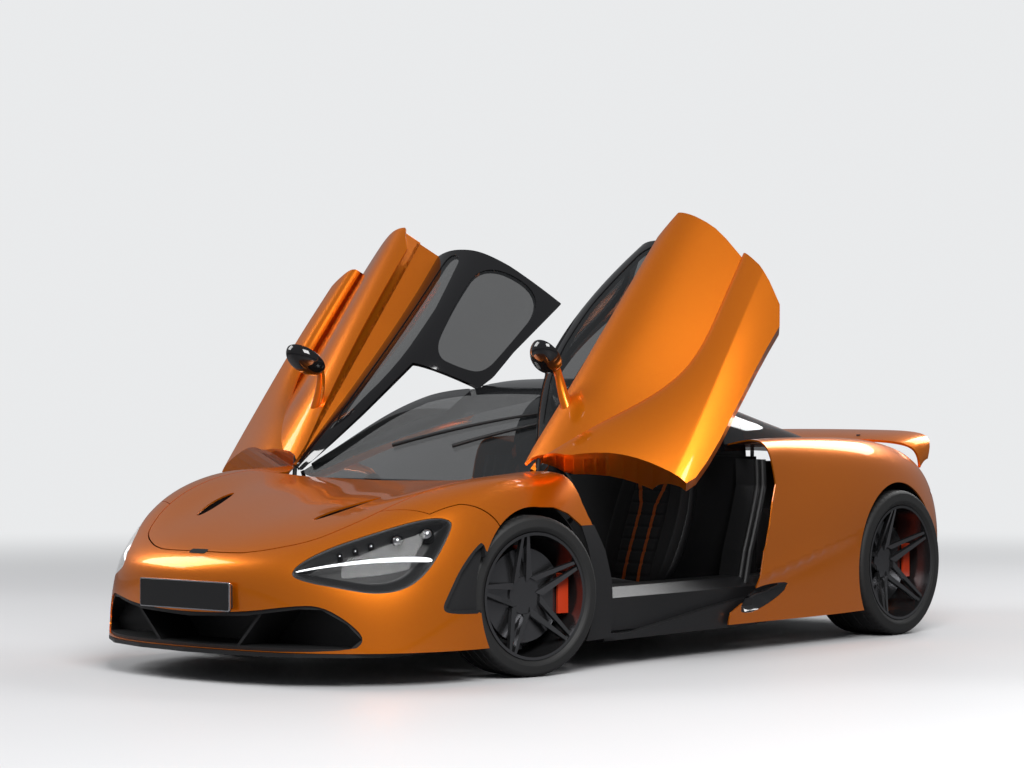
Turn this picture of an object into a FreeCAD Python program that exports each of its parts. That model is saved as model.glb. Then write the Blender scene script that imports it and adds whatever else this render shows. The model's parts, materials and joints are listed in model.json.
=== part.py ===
import FreeCAD, Part
import os

# A mid-engined two-seat sports car with dihedral doors, standing with both doors open.
# The car faces -Y, its left side is +X, +Z is up and the origin is on the ground under
# the middle of its length. All lengths are in millimetres and all angles in degrees.

V = FreeCAD.Vector
X_AXIS, Y_AXIS, Z_AXIS = V(1, 0, 0), V(0, 1, 0), V(0, 0, 1)
LEFT, RIGHT = 1, -1
doc = FreeCAD.newDocument("sports_car")

# Driving dimensions: name, value
SIZES = [
    ("front_axle_y", -1196.5), ("rear_axle_y", 1473.5),
    ("front_track", 1674.0), ("rear_track", 1629.0),
    ("front_tyre_radius", 327.0), ("rear_tyre_radius", 345.0),
    ("front_tyre_width", 245.0), ("rear_tyre_width", 305.0),
    ("front_rim_radius", 258.0), ("rear_rim_radius", 271.0),
    ("rim_wall", 12.0), ("hub_radius", 58.0), ("hub_face", 36.0), ("spoke_thick", 20.0),
    ("disc_radius", 192.0), ("disc_thick", 28.0),
    ("spindle_radius", 34.0), ("kingpin_offset", 22.0), ("kingpin_radius", 12.0),
    ("wishbone_reach", 203.0), ("wishbone_thick", 18.0), ("eye_radius", 26.0),
    ("steer_rest_deg", -11.5), ("door_open_deg", 71.0),
    ("front_arch_radius", 360.0), ("rear_arch_radius", 382.0),
    ("liner_gap", 24.0), ("liner_wall", 5.0),
    ("seat_gap", 0.3), ("panel_gap", 5.0), ("hood_rear_gap", 8.0),
    ("panel_wall", 8.0), ("glass_wall", 6.0), ("pillar_wall", 40.0), ("door_ring_wall", 30.0),
    ("floor_bottom", 118.0), ("floor_wall", 22.0), ("cabin_half", 700.0),
    ("sill_outer", 872.0), ("sill_cover_outer", 916.0), ("sill_top", 325.0), ("door_inner", 738.0),
    ("door_card_wall", 16.0), ("door_edge_wall", 14.0), ("door_shelf_wall", 25.0),
    ("cowl_top", 742.0), ("toe_y", -1130.0), ("bulkhead_y", 615.0), ("bulkhead_top", 860.0),
    ("bulkhead_wall", 30.0), ("tub_wall", 20.0), ("footwell_half", 520.0),
    ("hinge_pin_radius", 10.0), ("hinge_boss_wall", 9.0), ("pin_clearance", 0.3),
    ("hood_pin_radius", 6.0), ("strut_radius", 10.0), ("strut_tube_wall", 8.0), ("strut_x", 330.0),
    ("strut_y", 2050.0), ("engine_length", 600.0), ("engine_width", 620.0), ("engine_height", 520.0),
    ("engine_low", 190.0), ("engine_behind_bulkhead", 60.0),
    ("luggage_half", 300.0), ("luggage_front_y", -1850.0), ("luggage_low", 275.0), ("luggage_top", 610.0),
    ("splitter_low", 121.0), ("splitter_wall", 14.0), ("duct_wall", 14.0), ("duct_rear_y", -1960.0),
    ("exhaust_x", 110.0), ("exhaust_z", 612.0), ("exhaust_radius", 48.0), ("exhaust_wall", 5.0),
    ("steering_wheel_radius", 178.0), ("steering_rim_radius", 15.0), ("column_radius", 38.0),
    ("plate_width", 520.0), ("plate_height", 112.0), ("plate_low", 292.0), ("nose_y", -2271.5),
    ("tail_y", 2271.5),
]
sheet = doc.addObject("Spreadsheet::Sheet", "sizes")
for row, (name, value) in enumerate(SIZES, start=1):
    sheet.set(f"A{row}", name)
    sheet.set(f"B{row}", str(value))
    sheet.setAlias(f"B{row}", name)
doc.recompute()


class Sizes:
    """Reads a driving dimension from the sheet by its name."""

    def __getattr__(self, name):
        return float(getattr(sheet, name))


d = Sizes()

# Door hinge line of the left door: it leans back and inwards beside the windscreen.
HINGE_LOW = V(678.5, -897.6, 787.0)
HINGE_DIRECTION = V(-0.5333, 0.7337, 0.4210)

# Body skin stations, nose lip to tail lip. Each row is one line of control points round
# the left half of the body: mid (on the centre line), valley (beside the hood), crest (top
# of the fender), shoulder, side, hip (half height) and low (sill edge). y_mid and y_low are
# where the row starts and ends, and plan says how round it is seen from above.
BODY_COLUMNS = ("y_mid", "y_low", "plan", "z_mid", "x_valley", "z_valley", "x_crest", "z_crest",
                "x_shoulder", "z_shoulder", "x_side", "z_side", "x_hip", "z_hip", "x_low", "z_low")
BODY_ROWS = [
    (-2236, -1480, 1.05, 125, 490, 125, 690, 125, 825, 125, 905, 125, 940, 118, 940, 118),
    (-2254, -1470, 1.02, 250, 485, 255, 680, 258, 820, 262, 908, 262, 948, 220, 940, 118),
    (-2272, -1450, 0.95, 385, 480, 392, 662, 398, 798, 405, 902, 405, 955, 310, 940, 118),
    (-2262, -1420, 0.92, 478, 460, 485, 635, 495, 775, 515, 890, 525, 960, 400, 940, 118),
    (-2150, -1350, 0.90, 545, 430, 565, 620, 612, 765, 645, 890, 640, 960, 480, 940, 118),
    (-1900, -1300, 0.90, 640, 430, 655, 620, 715, 770, 738, 890, 715, 958, 520, 940, 118),
    (-1560, -1200, 0.90, 715, 480, 745, 650, 790, 790, 800, 895, 770, 952, 530, 940, 118),
    (-1250, -1060, 1.00, 760, 520, 770, 690, 812, 810, 826, 900, 770, 945, 520, 945, 120),
    (-980, -900, 1.00, 790, 540, 800, 705, 835, 815, 805, 890, 700, 935, 470, 945, 125),
    (-620, -620, 1.00, 805, 560, 820, 735, 852, 840, 815, 885, 690, 960, 330, 935, 130),
    (-150, -150, 1.00, 825, 580, 850, 752, 890, 860, 855, 890, 690, 960, 400, 935, 130),
    (400, 400, 1.00, 870, 595, 900, 768, 955, 880, 930, 895, 745, 965, 465, 940, 130),
    (900, 900, 1.00, 895, 590, 920, 755, 955, 878, 940, 948, 780, 978, 455, 955, 130),
    (1350, 1350, 1.00, 905, 570, 920, 735, 950, 875, 930, 962, 790, 985, 450, 955, 140),
    (1720, 1640, 1.00, 905, 530, 908, 680, 915, 822, 880, 932, 740, 970, 440, 940, 150),
    (2060, 1760, 0.90, 892, 500, 888, 630, 866, 765, 820, 872, 705, 930, 430, 910, 160),
    (2200, 1830, 0.80, 795, 520, 788, 660, 760, 775, 715, 860, 625, 905, 400, 885, 170),
    (2232, 1850, 0.80, 560, 520, 560, 680, 552, 790, 535, 860, 490, 892, 350, 872, 180),
    (2200, 1850, 0.80, 320, 520, 320, 680, 320, 785, 315, 850, 300, 880, 260, 865, 190),
]
SWEEP = (0.0, 0.02, 0.085, 0.24, 0.43, 0.64, 0.84, 1.0)

# Canopy stations, windscreen base to tail: the centre line, the pillar (cant rail) and the
# belt line at the foot of the side glass.
CANOPY_COLUMNS = ("y_mid", "z_mid", "x_pillar", "y_pillar", "z_pillar", "x_belt", "y_belt", "z_belt")
CANOPY_ROWS = [
    (-1100, 752, 660, -950, 790, 748, -905, 826),
    (-910, 880, 645, -800, 880, 726, -700, 858),
    (-620, 1050, 603, -560, 1042, 694, -450, 894),
    (-350, 1172, 552, -330, 1142, 668, -200, 926),
    (-80, 1222, 520, -90, 1186, 648, 40, 952),
    (250, 1222, 500, 240, 1184, 632, 280, 974),
    (650, 1168, 465, 640, 1126, 628, 620, 985),
    (1050, 1080, 405, 1030, 1035, 600, 950, 975),
    (1450, 985, 330, 1420, 955, 520, 1300, 940),
    (1760, 905, 270, 1700, 890, 430, 1560, 898),
]

# Upper door panel, front to rear: it falls from the belt over the shoulder ridge and tucks
# in behind the blade below.
UPPER_COLUMNS = ("y", "x_belt", "z_belt", "x_brow", "z_brow", "x_ridge", "z_ridge", "x_face", "z_face",
                 "x_tuck", "z_tuck")
UPPER_ROWS = [
    (-1010, 686, 879, 734, 865, 800, 778, 846, 708, 883, 564),
    (-760, 709, 895, 767, 863, 826, 785, 863, 694, 891, 541),
    (-500, 727, 915, 790, 880, 849, 802, 871, 681, 881, 473),
    (-220, 736, 946, 807, 906, 867, 832, 876, 659, 864, 396),
    (100, 738, 978, 818, 937, 878, 870, 880, 697, 858, 416),
    (380, 733, 1009, 822, 967, 884, 909, 882, 740, 855, 449),
    (620, 724, 1033, 822, 991, 889, 945, 882, 782, 851, 481),
]

# Door blade, front to rear: it rolls over a lip, swells to the crease and turns under to
# the sill.
BLADE_COLUMNS = ("y", "x_lip", "z_lip", "x_round", "z_round", "x_swell", "z_swell", "x_crease", "z_crease",
                 "x_under", "z_under", "x_foot", "z_foot")
BLADE_ROWS = [
    (-1010, 743, 865, 866, 781, 922, 567, 936, 199, 946, 153, 936, 104),
    (-760, 831, 758, 885, 713, 933, 522, 952, 219, 948, 169, 931, 115),
    (-520, 865, 586, 900, 576, 939, 443, 958, 261, 950, 202, 928, 117),
    (-230, 885, 450, 923, 458, 948, 391, 962, 319, 950, 236, 922, 137),
    (60, 886, 500, 926, 510, 952, 439, 964, 380, 950, 288, 915, 180),
    (350, 881, 561, 923, 572, 945, 498, 953, 438, 939, 336, 904, 213),
    (620, 875, 615, 917, 630, 937, 552, 943, 491, 928, 375, 893, 246),
]

# Side view of the door below the belt, from its front top corner round by the foot (y, z).
DOOR_FRONT_TOP = (-921, 852)
DOOR_FRONT = [(-862, 825), (-838, 753), (-837, 667), (-792, 598), (-742, 494), (-716, 371), (-712, 220)]
DOOR_FOOT = [(-725, 151), (-529, 153), (-276, 189), (-6, 228), (210, 249)]
DOOR_REAR = [(358, 440), (411, 566), (480, 729), (494, 826)]
DOOR_REAR_TOP = (493, 992)
BELT_LINE = [(-921, 852), (-480, 885), (-10, 934), (493, 992)]

# Top of the shelf that closes the door from the window foot out to its outer panel (y, z).
# Behind the outer panel's free top edge it is the floor of an air channel.
SHELF_TOP = [(-925, 812), (-830, 815), (-449, 858), (0, 893), (320, 912), (500, 918)]


def body_net():
    """Control points of the whole skin, right sill to left sill, one list per station."""
    net = []
    for values in BODY_ROWS:
        s = dict(zip(BODY_COLUMNS, values))
        half = [
            (0.0, s["z_mid"]),
            (0.5 * s["x_valley"], 0.4 * s["z_mid"] + 0.6 * s["z_valley"]),
            (s["x_valley"], s["z_valley"]),
            (s["x_crest"], s["z_crest"]),
            (s["x_shoulder"], s["z_shoulder"]),
            (s["x_side"], s["z_side"]),
            (s["x_hip"], s["z_hip"]),
            (s["x_low"], s["z_low"]),
        ]
        left = []
        for (x, z), share in zip(half, SWEEP):
            y = s["y_mid"] + (s["y_low"] - s["y_mid"]) * share ** s["plan"]
            left.append(V(x, y, z))
        right = [V(-p.x, p.y, p.z) for p in reversed(left[1:])]
        net.append(right + left)
    return net


def canopy_net():
    """Control points of the glasshouse, right belt to left belt, one list per station."""
    net = []
    for values in CANOPY_ROWS:
        s = dict(zip(CANOPY_COLUMNS, values))
        middle = V(0, s["y_mid"], s["z_mid"])
        pillar = V(s["x_pillar"], s["y_pillar"], s["z_pillar"])
        belt = V(s["x_belt"], s["y_belt"], s["z_belt"])
        near = V(0.5 * pillar.x, 0.75 * middle.y + 0.25 * pillar.y, 0.85 * middle.z + 0.15 * pillar.z)
        bow = V(14, 0, 10)
        side = (pillar + belt) * 0.5 + bow
        skirt = belt + V(8, 0, -95)
        left = [middle, near, pillar, side, belt, skirt]
        right = [V(-p.x, p.y, p.z) for p in reversed(left[1:])]
        net.append(right + left)
    return net


def strip_net(columns, rows, names, crease=None):
    """Control points of a door panel, one list per station; a doubled name is a sharp line."""
    net = []
    for values in rows:
        s = dict(zip(columns, values))
        line = []
        for name in names:
            line.append(V(s["x_" + name], s["y"], s["z_" + name]))
            if name == crease:
                line.append(line[-1])
        net.append(line)
    return net


def spline_surface(net):
    """A clamped uniform cubic spline surface on a net of control points."""

    def ends(count):
        inner = count - 3
        return [4] + [1] * (inner - 1) + [4], [i / inner for i in range(inner + 1)]

    row_mults, row_knots = ends(len(net))
    column_mults, column_knots = ends(len(net[0]))
    surface = Part.BSplineSurface()
    surface.buildFromPolesMultsKnots(net, row_mults, column_mults, row_knots, column_knots,
                                     False, False, 3, 3)
    return surface


def offset_net(net, depth):
    """The net moved inwards by depth along its own normals."""
    rows, columns = len(net), len(net[0])
    moved = []
    for i in range(rows):
        line = []
        for j in range(columns):
            along = net[min(i + 1, rows - 1)][j] - net[max(i - 1, 0)][j]
            across = net[i][min(j + 1, columns - 1)] - net[i][max(j - 1, 0)]
            inward = along.cross(across)
            if inward.Length > 1e-6:
                inward.normalize()
            line.append(net[i][j] + inward * depth)
        moved.append(line)
    return moved


def closed_between(outer_net, inner_net):
    """The closed solid between two nets of the same count."""
    outer, inner = spline_surface(outer_net), spline_surface(inner_net)
    u0, u1, v0, v1 = outer.bounds()
    sides = []
    for edge in (lambda s: s.uIso(u0), lambda s: s.uIso(u1), lambda s: s.vIso(v0), lambda s: s.vIso(v1)):
        sides.append(Part.makeRuledSurface(edge(outer).toShape(), edge(inner).toShape()))
    shell = Part.makeShell([outer.toShape(), inner.toShape()] + sides)
    shell.sewShape()
    solid = Part.Solid(shell)
    if solid.Volume < 0:
        solid.reverse()
    return solid


def skin(net, outer_depth, inner_depth):
    """A panel between two depths under a net."""
    return closed_between(offset_net(net, outer_depth), offset_net(net, inner_depth))


def filled_to_x(net, x_inner):
    """A thick panel from a net's surface in to the upright plane at x_inner."""
    return closed_between(net, [[V(x_inner, p.y, p.z) for p in line] for line in net])


def prism_x(outline, x_low, x_high):
    """A side-view outline (y, z) carried from x_low to x_high."""
    points = [V(x_low, y, z) for y, z in outline]
    face = Part.Face(Part.makePolygon(points + [points[0]]))
    return face.extrude(V(x_high - x_low, 0, 0))


def prism_z(outline, z_low, z_high):
    """A plan outline (x, y) carried from z_low to z_high."""
    points = [V(x, y, z_low) for x, y in outline]
    face = Part.Face(Part.makePolygon(points + [points[0]]))
    return face.extrude(V(0, 0, z_high - z_low))


def grown(outline, amount):
    """An outline moved outwards by amount, or inwards where amount is negative."""
    wire = Part.makePolygon([V(a, b, 0) for a, b in outline] + [V(outline[0][0], outline[0][1], 0)])
    moved = Part.Face(wire).makeOffset2D(amount, join=2)
    return [(v.Point.x, v.Point.y) for v in moved.OuterWire.OrderedVertexes]


def both_sides(outline):
    """A left-hand plan outline that starts and ends on the centre line, made whole."""
    return outline + [(-x, y) for x, y in reversed(outline) if abs(x) > 1e-6]


def cylinder_x(y, z, radius, x_low, x_high):
    return Part.makeCylinder(radius, x_high - x_low, V(x_low, y, z), X_AXIS)


def cylinder_z(x, y, radius, z_low, z_high):
    return Part.makeCylinder(radius, z_high - z_low, V(x, y, z_low), Z_AXIS)


def block(x_low, x_high, y_low, y_high, z_low, z_high):
    return Part.makeBox(x_high - x_low, y_high - y_low, z_high - z_low, V(x_low, y_low, z_low))


def mirrored(shape):
    return shape.mirror(V(0, 0, 0), X_AXIS)


def pair(shape):
    """A left-hand shape and its right-hand twin."""
    return Part.makeCompound(solids_of(shape) + solids_of(mirrored(shape)))


def solids_of(shape, smallest=2000.0):
    """The solids of a shape, without slivers under a few cubic centimetres."""
    return [solid for solid in shape.Solids if abs(solid.Volume) > smallest]


def joined(first, *others):
    return first.fuse(list(others)).removeSplitter()


def prism_y(outline, y_low, y_high):
    """A front-view outline (x, z) carried from y_low to y_high."""
    points = [V(x, y_low, z) for x, z in outline]
    face = Part.Face(Part.makePolygon(points + [points[0]]))
    return face.extrude(V(0, y_high - y_low, 0))


def hinge_point(along):
    """A point on the left door's hinge line, measured from its low end."""
    return HINGE_LOW + HINGE_DIRECTION * along


def rod(start, end, radius):
    """A round bar between two points."""
    run = end - start
    return Part.makeCylinder(radius, run.Length, start, run)


NODES = {}


def keep(name, thing, placement=None):
    """Names a finished sub-part, and stands it where the car holds it."""
    thing.Label = name
    if placement is not None:
        thing.Placement = placement.multiply(thing.Placement)
    NODES[name] = thing
    return thing


def shaped(name, shape):
    """A document object for a form that the sheet's values shape in code."""
    thing = doc.addObject("Part::Feature", name)
    thing.Shape = shape
    return thing


def add(name, shape, placement=None):
    """Keeps a worked-out shape as a sub-part of its own."""
    solids = solids_of(shape)
    thing = shaped(name, solids[0] if len(solids) == 1 else Part.makeCompound(solids))
    return keep(name, thing, placement)


def box(name, x, y, z):
    """A box between two places on each axis, each place an expression on the sheet."""
    thing = doc.addObject("Part::Box", name)
    for axis, size, (low, high) in (("x", "Length", x), ("y", "Width", y), ("z", "Height", z)):
        thing.setExpression("Placement.Base." + axis, low)
        thing.setExpression(size, f"({high}) - ({low})")
    return thing


BAR_TURNS = {"x": FreeCAD.Rotation(Y_AXIS, 90), "y": FreeCAD.Rotation(X_AXIS, -90), "z": FreeCAD.Rotation()}


def bar(name, axis, across, radius, low, high):
    """A round bar along one axis; across is its place on the other two axes."""
    thing = doc.addObject("Part::Cylinder", name)
    thing.Placement = FreeCAD.Placement(V(0, 0, 0), BAR_TURNS[axis])
    for other, place in zip([other for other in "xyz" if other != axis], across):
        thing.setExpression("Placement.Base." + other, place)
    thing.setExpression("Placement.Base." + axis, low)
    thing.setExpression("Height", f"({high}) - ({low})")
    thing.setExpression("Radius", radius)
    return thing


def fused(name, *things):
    thing = doc.addObject("Part::MultiFuse", name)
    thing.Shapes = list(things)
    return thing


def without(name, base, tool):
    thing = doc.addObject("Part::Cut", name)
    thing.Base, thing.Tool = base, tool
    return thing


def twin(name, thing):
    """The same piece on the other side of the car."""
    other = doc.addObject("Part::Mirroring", name)
    other.Source = thing
    other.Normal = X_AXIS
    return other


def grouped(name, *things):
    group = doc.addObject("Part::Compound", name)
    group.Links = list(things)
    return group


# Hood hinge and the parting lines seen from above, left half (x, y)
HOOD_HINGE_X, HOOD_HINGE_Y, HOOD_HINGE_Z = 548.0, -1105.0, 755.0
HOOD_PLAN = [(0, -2192), (200, -2184), (300, -2150), (370, -2110), (440, -2062), (500, -2003), (560, -1905),
             (600, -1825), (640, -1690), (665, -1560), (688, -1380), (700, -1240), (690, -1195),
             (640, -1165),
             (590, -1150), (555, -1122), (300, -1112), (0, -1122)]
BUMPER_LINE = [(470, -1860), (790, -1690), (835, -1560), (1000, -1255)]
SCREEN_PLAN = [(0, -1200), (560, -1200), (664, -962), (568, -600), (490, -322), (250, -297), (0, -290)]
PILLAR_PLAN = [(0, -1200), (620, -1200), (700, -930), (606, -590), (532, -300), (250, -262), (0, -256)]
REAR_GLASS_PLAN = [(0, 660), (700, 660), (640, 900), (540, 1200), (400, 1480), (250, 1660), (0, 1700)]
DECK_HALF = 600.0
DECK_FRONT = 660.0
# What an opening door sweeps past the fender and past the pillar: along the hinge line and out from it (t, r)
FENDER_SWING = [(-58, 34), (-50, 60), (-36, 80), (-36, 120), (-110, 200), (-126, 240), (-140, 320),
                (300, 320), (300, 34)]
PILLAR_SWING = [(-60, 27), (20, 27), (60, 36), (100, 49), (140, 63), (180, 74), (260, 100), (340, 127),
                (420, 156), (540, 198), (620, 223), (655, 223), (700, 188), (740, 148), (780, 106),
                (820, 60), (855, 18), (940, 18), (940, 340), (-60, 340)]
# Roof: the spine's edge, where the doors' roof panels meet it, and the panels' rear edge
SPINE_EDGE = [(217, -255), (181, -160), (150, 15), (45, 430)]
ROOF_REAR = [(45, 430), (350, 470), (860, 493)]

# Head lamp: its outline on the skin (x, y, z) and the way it faces
HEADLAMP_EDGE = [(480, -2186, 462), (560, -2057, 548), (680, -1905, 609), (790, -1716, 655),
                 (840, -1638, 652),
                 (862, -1625, 620), (880, -1753, 505), (860, -1831, 430), (820, -1902, 388),
                 (760, -1990, 384),
                 (680, -2054, 395), (560, -2153, 428)]
HEADLAMP_FACING = V(0.45, -0.65, 0.61)

# Nose intake seen from the front, left half (x, z), and the air outlet ahead of the wheel (y, z)
MOUTH = [(0, 278), (300, 290), (520, 322), (604, 320), (690, 262), (745, 190), (700, 140), (0, 138)]
AIR_CURTAIN = [(-1500, 570), (-1570, 530), (-1650, 450), (-1700, 370), (-1740, 300), (-1700, 280),
               (-1500, 276)]
# Front wheel opening behind its round part, and the dark trim behind it (y, z)
ARCH_TAIL = [(-1196, 400), (-1150, 684), (-1050, 680), (-960, 652), (-885, 602), (-860, 520), (-838, 400)]
ARCH_TRIM = [(-1000, 600), (-700, 600), (-700, 60), (-1000, 60)]

BODY = body_net()
CANOPY = canopy_net()
REACH = 3000.0


def both_ends(cutter):
    """A left-hand cutter and its mirror image as one tool."""
    return cutter.fuse(mirrored(cutter))


def arch(axle_y, wheel_z, radius):
    """Both wheel openings at one axle, as cutters."""
    return both_ends(cylinder_x(axle_y, wheel_z, radius, 500, 1200))


FRONT_ARCH = arch(d.front_axle_y, d.front_tyre_radius, d.front_arch_radius).fuse(both_ends(
    prism_x(ARCH_TAIL, 500, 1200)))
REAR_ARCH = arch(d.rear_axle_y, d.rear_tyre_radius, d.rear_arch_radius)


def lamp_prism(growth):
    """The left head lamp's outline carried along the way that the lamp faces."""
    facing = V(HEADLAMP_FACING).normalize()
    start, depth = 1600.0, 600.0
    flat = [V(*point) - facing * (V(*point).dot(facing) - start) for point in HEADLAMP_EDGE]
    face = Part.Face(Part.makePolygon(flat + [flat[0]]))
    if growth:
        face = face.makeOffset2D(growth, join=2)
    return face.extrude(facing * depth)


def door_outline():
    """The door below its belt, seen from the side."""
    return [DOOR_FRONT_TOP] + DOOR_FRONT + DOOR_FOOT + DOOR_REAR + [DOOR_REAR_TOP] + BELT_LINE[2:0:-1]


def door_room():
    """What the closed door's outer panel fills on both sides, with a gap round it."""
    low = prism_x(grown(door_outline(), d.panel_gap), d.sill_outer - 300, 1100)
    return both_ends(low)


def door_plan():
    """The door's glass and roof panel, seen from above."""
    inner = [(x + d.panel_gap, y) for x, y in SPINE_EDGE]
    front = [(250, -255), (538, -293), (612, -584), (707, -913), (860, -915)]
    return inner[::-1] + front + ROOF_REAR[:0:-1]


def about_hinge(profile, start, sweep):
    """A profile (t along the left hinge line, r out from it) turned about the line, up from the level."""
    level = HINGE_DIRECTION.cross(Z_AXIS).normalize()
    points = [hinge_point(t) + level * r for t, r in profile]
    face = Part.Face(Part.makePolygon(points + [points[0]]))
    face.rotate(HINGE_LOW, HINGE_DIRECTION, -start)
    return face.revolve(HINGE_LOW, HINGE_DIRECTION * -1, sweep)


def beside_canopy():
    """The room that the glasshouse takes, a seat gap larger than its own skin."""
    return skin(CANOPY, -d.seat_gap, 160)


def wing_rows(margin):
    """The rear wing's top, tip to tip; margin grows it sideways and to the rear."""
    columns = ("x", "y_front", "y_rear", "z")
    rows = []
    for values in ((-700, 2045, 2115, 822), (-704, 2030, 2150, 915), (-625, 2000, 2215, 958),
                   (-330, 1993, 2262, 963),
                   (0, 1990, d.tail_y, 965), (330, 1993, 2262, 963), (625, 2000, 2215, 958),
                   (704, 2030, 2150, 915),
                   (700, 2045, 2115, 822)):
        row = dict(zip(columns, values))
        side = (row["x"] > 0) - (row["x"] < 0)
        x = row["x"] + side * margin
        front, rear, z = row["y_front"] - margin, row["y_rear"] + 12 * margin, row["z"]
        run = rear - front
        rows.append([V(x, front, z - 40), V(x, front + 0.35 * run, z - 8), V(x, front + 0.7 * run, z),
                     V(x, rear, z + 4)])
    return rows


def lifted(rows, rise):
    return [[p + V(0, 0, rise) for p in line] for line in rows]


WING_WALL = 14.0


def body_panels():
    """The fixed painted panels and the hood, all cut from one skin."""
    whole = skin(BODY, 0, d.panel_wall)
    hood_hole = prism_z(both_sides(HOOD_PLAN), 380, 1000)
    hood_cut = prism_z(grown(both_sides(HOOD_PLAN), -d.panel_gap), 380, 1000)
    set_back = hood_cut.copy()
    set_back.translate(V(0, -d.hood_rear_gap, 0))
    lamps = both_ends(lamp_prism(0))
    doors = door_room()
    under_skin = skin(BODY, -200, d.panel_wall - 1)

    ear_low = HOOD_HINGE_Z - 14
    ear = block(HOOD_HINGE_X, HOOD_HINGE_X + 12, HOOD_HINGE_Y - 45, HOOD_HINGE_Y + 12, ear_low, HOOD_HINGE_Z
                + 10)
    rise = block(HOOD_HINGE_X, HOOD_HINGE_X + 12, HOOD_HINGE_Y - 60, HOOD_HINGE_Y - 30, ear_low,
                 900).cut(under_skin)
    pin = cylinder_x(HOOD_HINGE_Y, HOOD_HINGE_Z, d.hood_pin_radius, HOOD_HINGE_X - 32, HOOD_HINGE_X + 12)
    ear = ear.fuse([rise, pin])
    add("hood", joined(whole.common(hood_cut).common(set_back), ear, mirrored(ear)))

    rest = whole.cut(hood_hole)
    line = BUMPER_LINE
    ahead = [(0, -REACH), (1100, -REACH), (1100, line[3][1]), line[3], line[2], line[1], line[0],
             (0, line[0][1])]
    under_splitter = block(-1100, 1100, -REACH, -1700, 0, d.splitter_low + d.splitter_wall + d.seat_gap)
    curtains = both_ends(prism_x(AIR_CURTAIN, 700, 1200))
    bumper = rest.common(prism_z(both_sides(ahead), 0, 1000)).cut(lamps).cut(FRONT_ARCH).cut(under_splitter)
    bumper = bumper.cut(prism_y(both_sides(MOUTH), -REACH, -1850)).cut(curtains)
    add("front_bumper", bumper)
    add("headlamps", pair(skin(BODY, 4, 60).common(lamp_prism(-d.seat_gap))))

    gap = d.seat_gap
    behind = [(0, line[0][1])] + [(x, y + gap) for x, y in line] + [(1100, line[3][1] + gap), (1100, -700),
                                                                    (708, -700), (708, -930), (600, -1080),
                                                                    (0, -1080)]
    fenders = rest.common(prism_z(both_sides(behind), 100, 1000)).cut(lamps).cut(FRONT_ARCH).cut(doors)
    fenders = fenders.cut(prism_z(both_sides([(0, -1300), (600, -1300), (600, -1000), (0, -1000)]), 0,
                                  1000))
    trim = both_ends(prism_x(ARCH_TRIM, 800, 1100))
    hinge_room = rod(hinge_point(-140), hinge_point(20), 34)
    door_swing = about_hinge(FENDER_SWING, -75, 225)
    fenders = fenders.cut(trim).cut(both_ends(hinge_room)).cut(both_ends(door_swing))
    add("front_fenders", Part.makeCompound(solids_of(fenders.cut(curtains).cut(beside_canopy()))))
    seat = both_ends(prism_x(grown(ARCH_TRIM, -gap), 800, 1100))
    leaf = rest.common(seat).cut(FRONT_ARCH).cut(doors)

    front = prism_z([(DECK_HALF, DECK_FRONT), (1100, DECK_FRONT), (1100, 2400), (DECK_HALF, 2400)], 100,
                    1200)
    nose_of_quarter = prism_x([(100, 100), (110, 180), (300, 270), (340, 390), (395, 552), (499, 740),
                               (499, 1020),
                               (665, 1020), (665, 100)], 640, 1100)
    nose_of_quarter = nose_of_quarter.cut(block(600, 800, 0, 700, 0, 860))
    rear_arch_and_doors = REAR_ARCH.fuse(doors)
    quarter = whole.common(front.fuse(nose_of_quarter)).cut(rear_arch_and_doors).cut(beside_canopy())
    tail = [(1990, 560), (2400, 560), (2400, 0), (1830, 0), (1880, 300)]
    tail_cut = prism_x(tail, -1100, 1100)
    wing_cut = closed_between(lifted(wing_rows(d.panel_gap), 250),
                              lifted(wing_rows(d.panel_gap), -WING_WALL - d.panel_gap))
    quarter = quarter.cut(tail_cut).cut(wing_cut)
    glass_hole = prism_z(both_sides(REAR_GLASS_PLAN), 500, 1300)
    lamp_line = [(520, 700), (900, 668), (900, 650), (520, 680)]
    bands = both_ends(prism_y(lamp_line, 1900, 2400))
    lamp_band = prism_y(grown(lamp_line, -gap), 1900, 2400)
    add("tail_lamps", pair(skin(BODY, 2, 16).common(lamp_band).common(block(0, 1100, 1955, 2400, 0, 1000))))
    add("rear_quarters", pair(quarter.cut(glass_hole).cut(bands)))
    deck = whole.common(prism_z(both_sides([(0, DECK_FRONT), (DECK_HALF - gap, DECK_FRONT),
                                            (DECK_HALF - gap, 2400),
                                            (0, 2400)]), 100, 1200))
    deck = deck.cut(glass_hole).cut(tail_cut).cut(wing_cut).cut(bands).cut(beside_canopy())
    for x in (-d.exhaust_x, d.exhaust_x):
        deck = deck.cut(Part.makeCylinder(d.exhaust_radius + gap, 400, V(x, 2000, d.exhaust_z), Y_AXIS))
    tube = cylinder_z(d.strut_x, d.strut_y, d.strut_radius + d.strut_tube_wall, 720, 1000).cut(
        skin(BODY, -200, d.panel_wall - 1))
    bores = both_ends(cylinder_z(d.strut_x, d.strut_y, d.strut_radius + d.pin_clearance, 600, 1100))
    add("engine_deck", joined(deck, tube, mirrored(tube)).cut(bores))
    add("rear_bumper", whole.common(prism_x(grown(tail, -gap), -1100, 1100)).cut(REAR_ARCH))
    return leaf


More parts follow.
